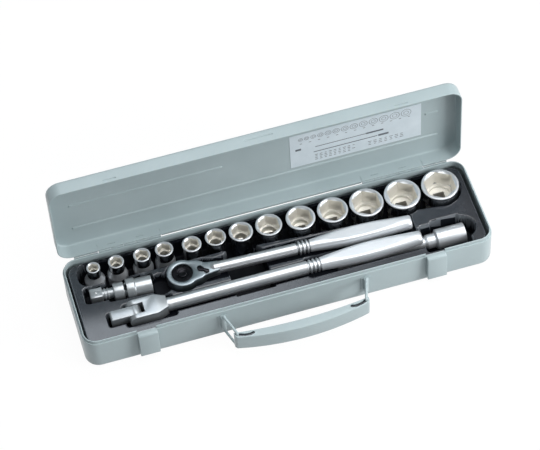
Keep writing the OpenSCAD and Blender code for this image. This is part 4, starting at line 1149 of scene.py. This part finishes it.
def slotOutline(spare=0.0):
    # curved slot that a wire's end follows while its arm turns
    length, lean, fold = handle["armLen"], handle["lean"], handle["fold"]
    path = []
    for turn in np.linspace(0, fold, 9):
        a = math.radians(lean + turn)
        path.append(Vector((handle["armX"] - length * math.sin(a),
                            handle["pinY"] + length * (math.cos(math.radians(lean)) - math.cos(a))
                            - handle["travel"] * turn / fold)))
    near, far, half = [], [], handle["slot"] / 2 - 0.2 + spare
    for i, point in enumerate(path):
        along = (path[min(i + 1, 8)] - path[max(i - 1, 0)]).normalized()
        side = Vector((-along.y, along.x)) * half
        near.append(point + side)
        far.append(point - side)
    ends = []
    for point, first in ((path[-1], near[-1]), (path[0], far[0])):
        arm = first - point
        for k in range(1, 8):
            a = -math.pi * k / 8
            ends.append(point + Vector((arm.x * math.cos(a) - arm.y * math.sin(a),
                                        arm.x * math.sin(a) + arm.y * math.cos(a))))
    return near + ends[:7] + far[::-1] + ends[7:]


def sidePlate(side, outline, low, high):
    # an outline's plate, mirrored for the left side
    bm = bmesh.new()
    plate(bm, outline, low, high)
    if side < 0:
        bmesh.ops.scale(bm, vec=(-1, 1, 1), verts=bm.verts)
    return bm


def makeGrip():
    sheet = case["sheet"]
    low, high = handle["low"] + handle["wire"] + 0.4, handle["high"] - handle["wire"] - 0.4
    half = handle["pinX"] + 3.5
    back, skin = handle["back"], handle["back"] - handle["flange"]
    rings = []
    endSteps = np.array([0, 0.4, 1.2, 2.1])
    for x in [*(endSteps - half), *np.linspace(-half + 3, half - 3, 47), *(half - endSteps[::-1])]:
        front = skin + bowed(x, half, handle["bow"])
        near = half - abs(x)
        # the front turns back to the arms at each end
        if near < 3:
            front = max(front, handle["pinY"] - 0.6 - 4.3 * math.sin(near / 3 * math.pi / 2))
        rear = back + bowed(x, half, handle["backBow"])
        section = fillet([
            (rear, low + sheet), (rear, low, 0.3), (front, low, 2.6), (front, high, 1.3), (rear, high, 0.4),
            (rear, high - sheet), (front + sheet, high - sheet, 0.5), (front + sheet, low + sheet, 0.5),
            (rear, low + sheet)
        ], 4)[:-1]
        rings.append([Vector((x, y, z)) for y, z in section])
    bm = bmesh.new()
    loftRings(bm, rings, capStart=True, capEnd=True)
    grip = rawObject("gripChannel", bm)
    depth = handle["flange"] - 2.6
    for side in (-1, 1):
        carve(grip, rawObject("slotCutter", sidePlate(side, slotOutline(), low - 3, high + 3)))
        wall = block((sheet, depth, high - low - 0.6),
                     (side * (half - sheet / 2), back - depth / 2 - 0.2, (low + high) / 2))
        carve(grip, rawObject("gripEnd", wall), "UNION")
    bm = toBmesh(grip)
    placed(bm, Matrix.Translation((handle["x"], 0, 0)))
    finishPiece("gripChannel", bm, "carry_grip", casePaint, ["handle_grip"])
    # dark plates under the slots: painted shade inside the grip
    bm = bmesh.new()
    slotShadeTop = high - sheet - handle["slotShadeGap"]
    for side in (-1, 1):
        joinInto(bm, sidePlate(side, slotOutline(1.1), slotShadeTop - handle["slotShadeThick"], slotShadeTop))
    placed(bm, Matrix.Translation((handle["x"], 0, 0)))
    finishPiece("gripSlotShade", bm, "carry_grip", insertPlastic)


def bentWire(path, radius, name, body, replaced, corner=2.4):
    # round wire through the path's points, its bends rounded
    curve = bpy.data.curves.new(name, "CURVE")
    curve.dimensions = "3D"
    spline = curve.splines.new("POLY")
    points = []
    for i, point in enumerate(path):
        if i in (0, len(path) - 1):
            points.append(point)
            continue
        a, b = (path[i - 1] - point), (path[i + 1] - point)
        start, end = point + a.normalized() * corner, point + b.normalized() * corner
        for k in range(9):
            t = k / 8
            points.append(start * (1 - t) ** 2 + point * 2 * t * (1 - t) + end * t ** 2)
    spline.points.add(len(points) - 1)
    for place, point in zip(spline.points, points):
        place.co = (*point, 1)
    curve.bevel_depth = radius
    curve.bevel_resolution = 5
    curve.use_fill_caps = True
    obj = bpy.data.objects.new(name, curve)
    scene.collection.objects.link(obj)
    bpy.context.view_layer.update()
    mesh = bpy.data.meshes.new_from_object(obj.evaluated_get(bpy.context.evaluated_depsgraph_get()))
    bpy.data.objects.remove(obj)
    bm = bmesh.new()
    bm.from_mesh(mesh)
    return finishPiece(name, bm, body, casePaint, replaced)


def makeArms():
    for side, name in ((-1, "left"), (1, "right")):
        reach = Vector((-side * handle["armLen"] * math.sin(math.radians(handle["lean"])),
                        -handle["armLen"] * math.cos(math.radians(handle["lean"])), 0))
        root = Vector((handle["x"] + side * handle["armX"], handle["armY"], 0))
        low, high = handle["low"], handle["high"]
        path = [root + reach + Vector((0, 0, low + 4.5)), root + reach + Vector((0, 0, low)),
                root + Vector((0, 0, low)), root + Vector((0, 0, high)), root + reach + Vector((0, 0, high)),
                root + reach + Vector((0, 0, high - handle["wireEnd"]))]
        bentWire(path, handle["wire"], f"wireArm_{name}", f"{name}_arm", [f"handle_arm_{name}"])


makeLatches()
makeGrip()
makeArms()
print("stage: latches and carry handle")


# CAD nodes that stay
kept = {
    casePaint: ["handle_brackets"],
    plainSteel: ["hinge_pins", "latch_pins", "latch_springs", "ratchet_pawl"],
    chrome: ["ratchet_ball", "flex_ball", "joint_ball", "extension_ball"],
    blackOxide: ["ratchet_rotor"],
}
for mat, names in kept.items():
    for name in names:
        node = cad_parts[name]
        node.data.materials.clear()
        node.data.materials.append(mat)
print("stage: kept nodes")


# floor, light and camera
view = dict(azimuth=-13.3987, elevation=54.4343, roll=-3.7433, distance=2.8522064,
            target=(0.0093451, 0.0666192, 0.0), focal=2517.12, frameWidth=540, sensor=36)


def makeCamera():
    a, e, r = (math.radians(view[k]) for k in ("azimuth", "elevation", "roll"))
    back = Vector((math.sin(a) * math.cos(e), -math.cos(a) * math.cos(e), math.sin(e)))
    right = Vector((math.cos(a), math.sin(a), 0))
    up = back.cross(right)
    right, up = right * math.cos(r) + up * math.sin(r), up * math.cos(r) - right * math.sin(r)
    camera = bpy.data.objects.new("camera", bpy.data.cameras.new("camera"))
    camera.matrix_world = Matrix((
        (right.x, up.x, back.x, 0), (right.y, up.y, back.y, 0), (right.z, up.z, back.z, 0), (0, 0, 0, 1)))
    camera.location = Vector(view["target"]) + back * view["distance"]
    camera.data.sensor_width = view["sensor"]
    camera.data.lens = view["focal"] / view["frameWidth"] * view["sensor"]
    camera.data.clip_end = 20
    scene.collection.objects.link(camera)
    scene.camera = camera


studio = dict(floorColor=(0.46, 0.46, 0.47), floorLight=(0.54, 0.54, 0.54), whiten=0.9, glow=1.06,
              ambient=0.27, ambientColor=(0.93, 0.97, 1.0))
lamps = [
    dict(name="key", power=44, size=(2.4, 2.0), place=(0.55, -0.05, 2.4), tint=(1, 1, 1)),
    dict(name="back", power=9, size=(0.9, 1.1), place=(-0.05, 1.65, 2.2), tint=(0.84, 0.92, 1.0)),
    dict(name="right", power=20, size=(0.8, 0.7), place=(1.25, -0.85, 0.7), tint=(1, 1, 1)),
]


def isSeen(tree):
    # 1 for camera, glossy and transmission rays
    path = tree.nodes.new("ShaderNodeLightPath")
    seen = path.outputs["Is Camera Ray"]
    for output in ("Is Glossy Ray", "Is Transmission Ray"):
        node = tree.nodes.new("ShaderNodeMath")
        node.operation = "MAXIMUM"
        tree.links.new(seen, node.inputs[0])
        tree.links.new(path.outputs[output], node.inputs[1])
        seen = node.outputs[0]
    return seen


def makeStudio():
    world = bpy.data.worlds.new("studio")
    scene.world = world
    world.use_nodes = True
    background = world.node_tree.nodes["Background"]
    background.inputs["Color"].default_value = (*studio["ambientColor"], 1)
    background.inputs["Strength"].default_value = studio["ambient"]
    bpy.ops.mesh.primitive_plane_add(size=12, location=(0, 0, 0))
    floor = bpy.context.object
    floor.name = "floor"
    mat, tree, shader = newMaterial("floorPaper")
    mottle(tree, shader, objectCoords(tree), 3, 2, studio["floorColor"], studio["floorLight"])
    shader.inputs["Roughness"].default_value = 0.9
    # the floor looks white to the camera and keeps only a faint shadow
    glow = tree.nodes.new("ShaderNodeEmission")
    glow.inputs["Strength"].default_value = studio["glow"]
    mix = tree.nodes.new("ShaderNodeMixShader")
    tree.links.new(span(tree, isSeen(tree), 0.0, studio["whiten"]), mix.inputs["Fac"])
    tree.links.new(shader.outputs["BSDF"], mix.inputs[1])
    tree.links.new(glow.outputs["Emission"], mix.inputs[2])
    tree.links.new(mix.outputs["Shader"], tree.nodes["Material Output"].inputs["Surface"])
    floor.data.materials.append(mat)
    for lamp in lamps:
        light = bpy.data.lights.new(lamp["name"], "AREA")
        light.energy = lamp["power"]
        light.color = lamp["tint"]
        light.shape = "RECTANGLE"
        light.size, light.size_y = lamp["size"]
        obj = bpy.data.objects.new(lamp["name"], light)
        obj.location = lamp["place"]
        obj.rotation_euler = Vector(lamp["place"]).to_track_quat("Z", "Y").to_euler()
        scene.collection.objects.link(obj)
    scene.view_settings.view_transform = "Standard"


makeCamera()
makeStudio()
print("stage: studio")
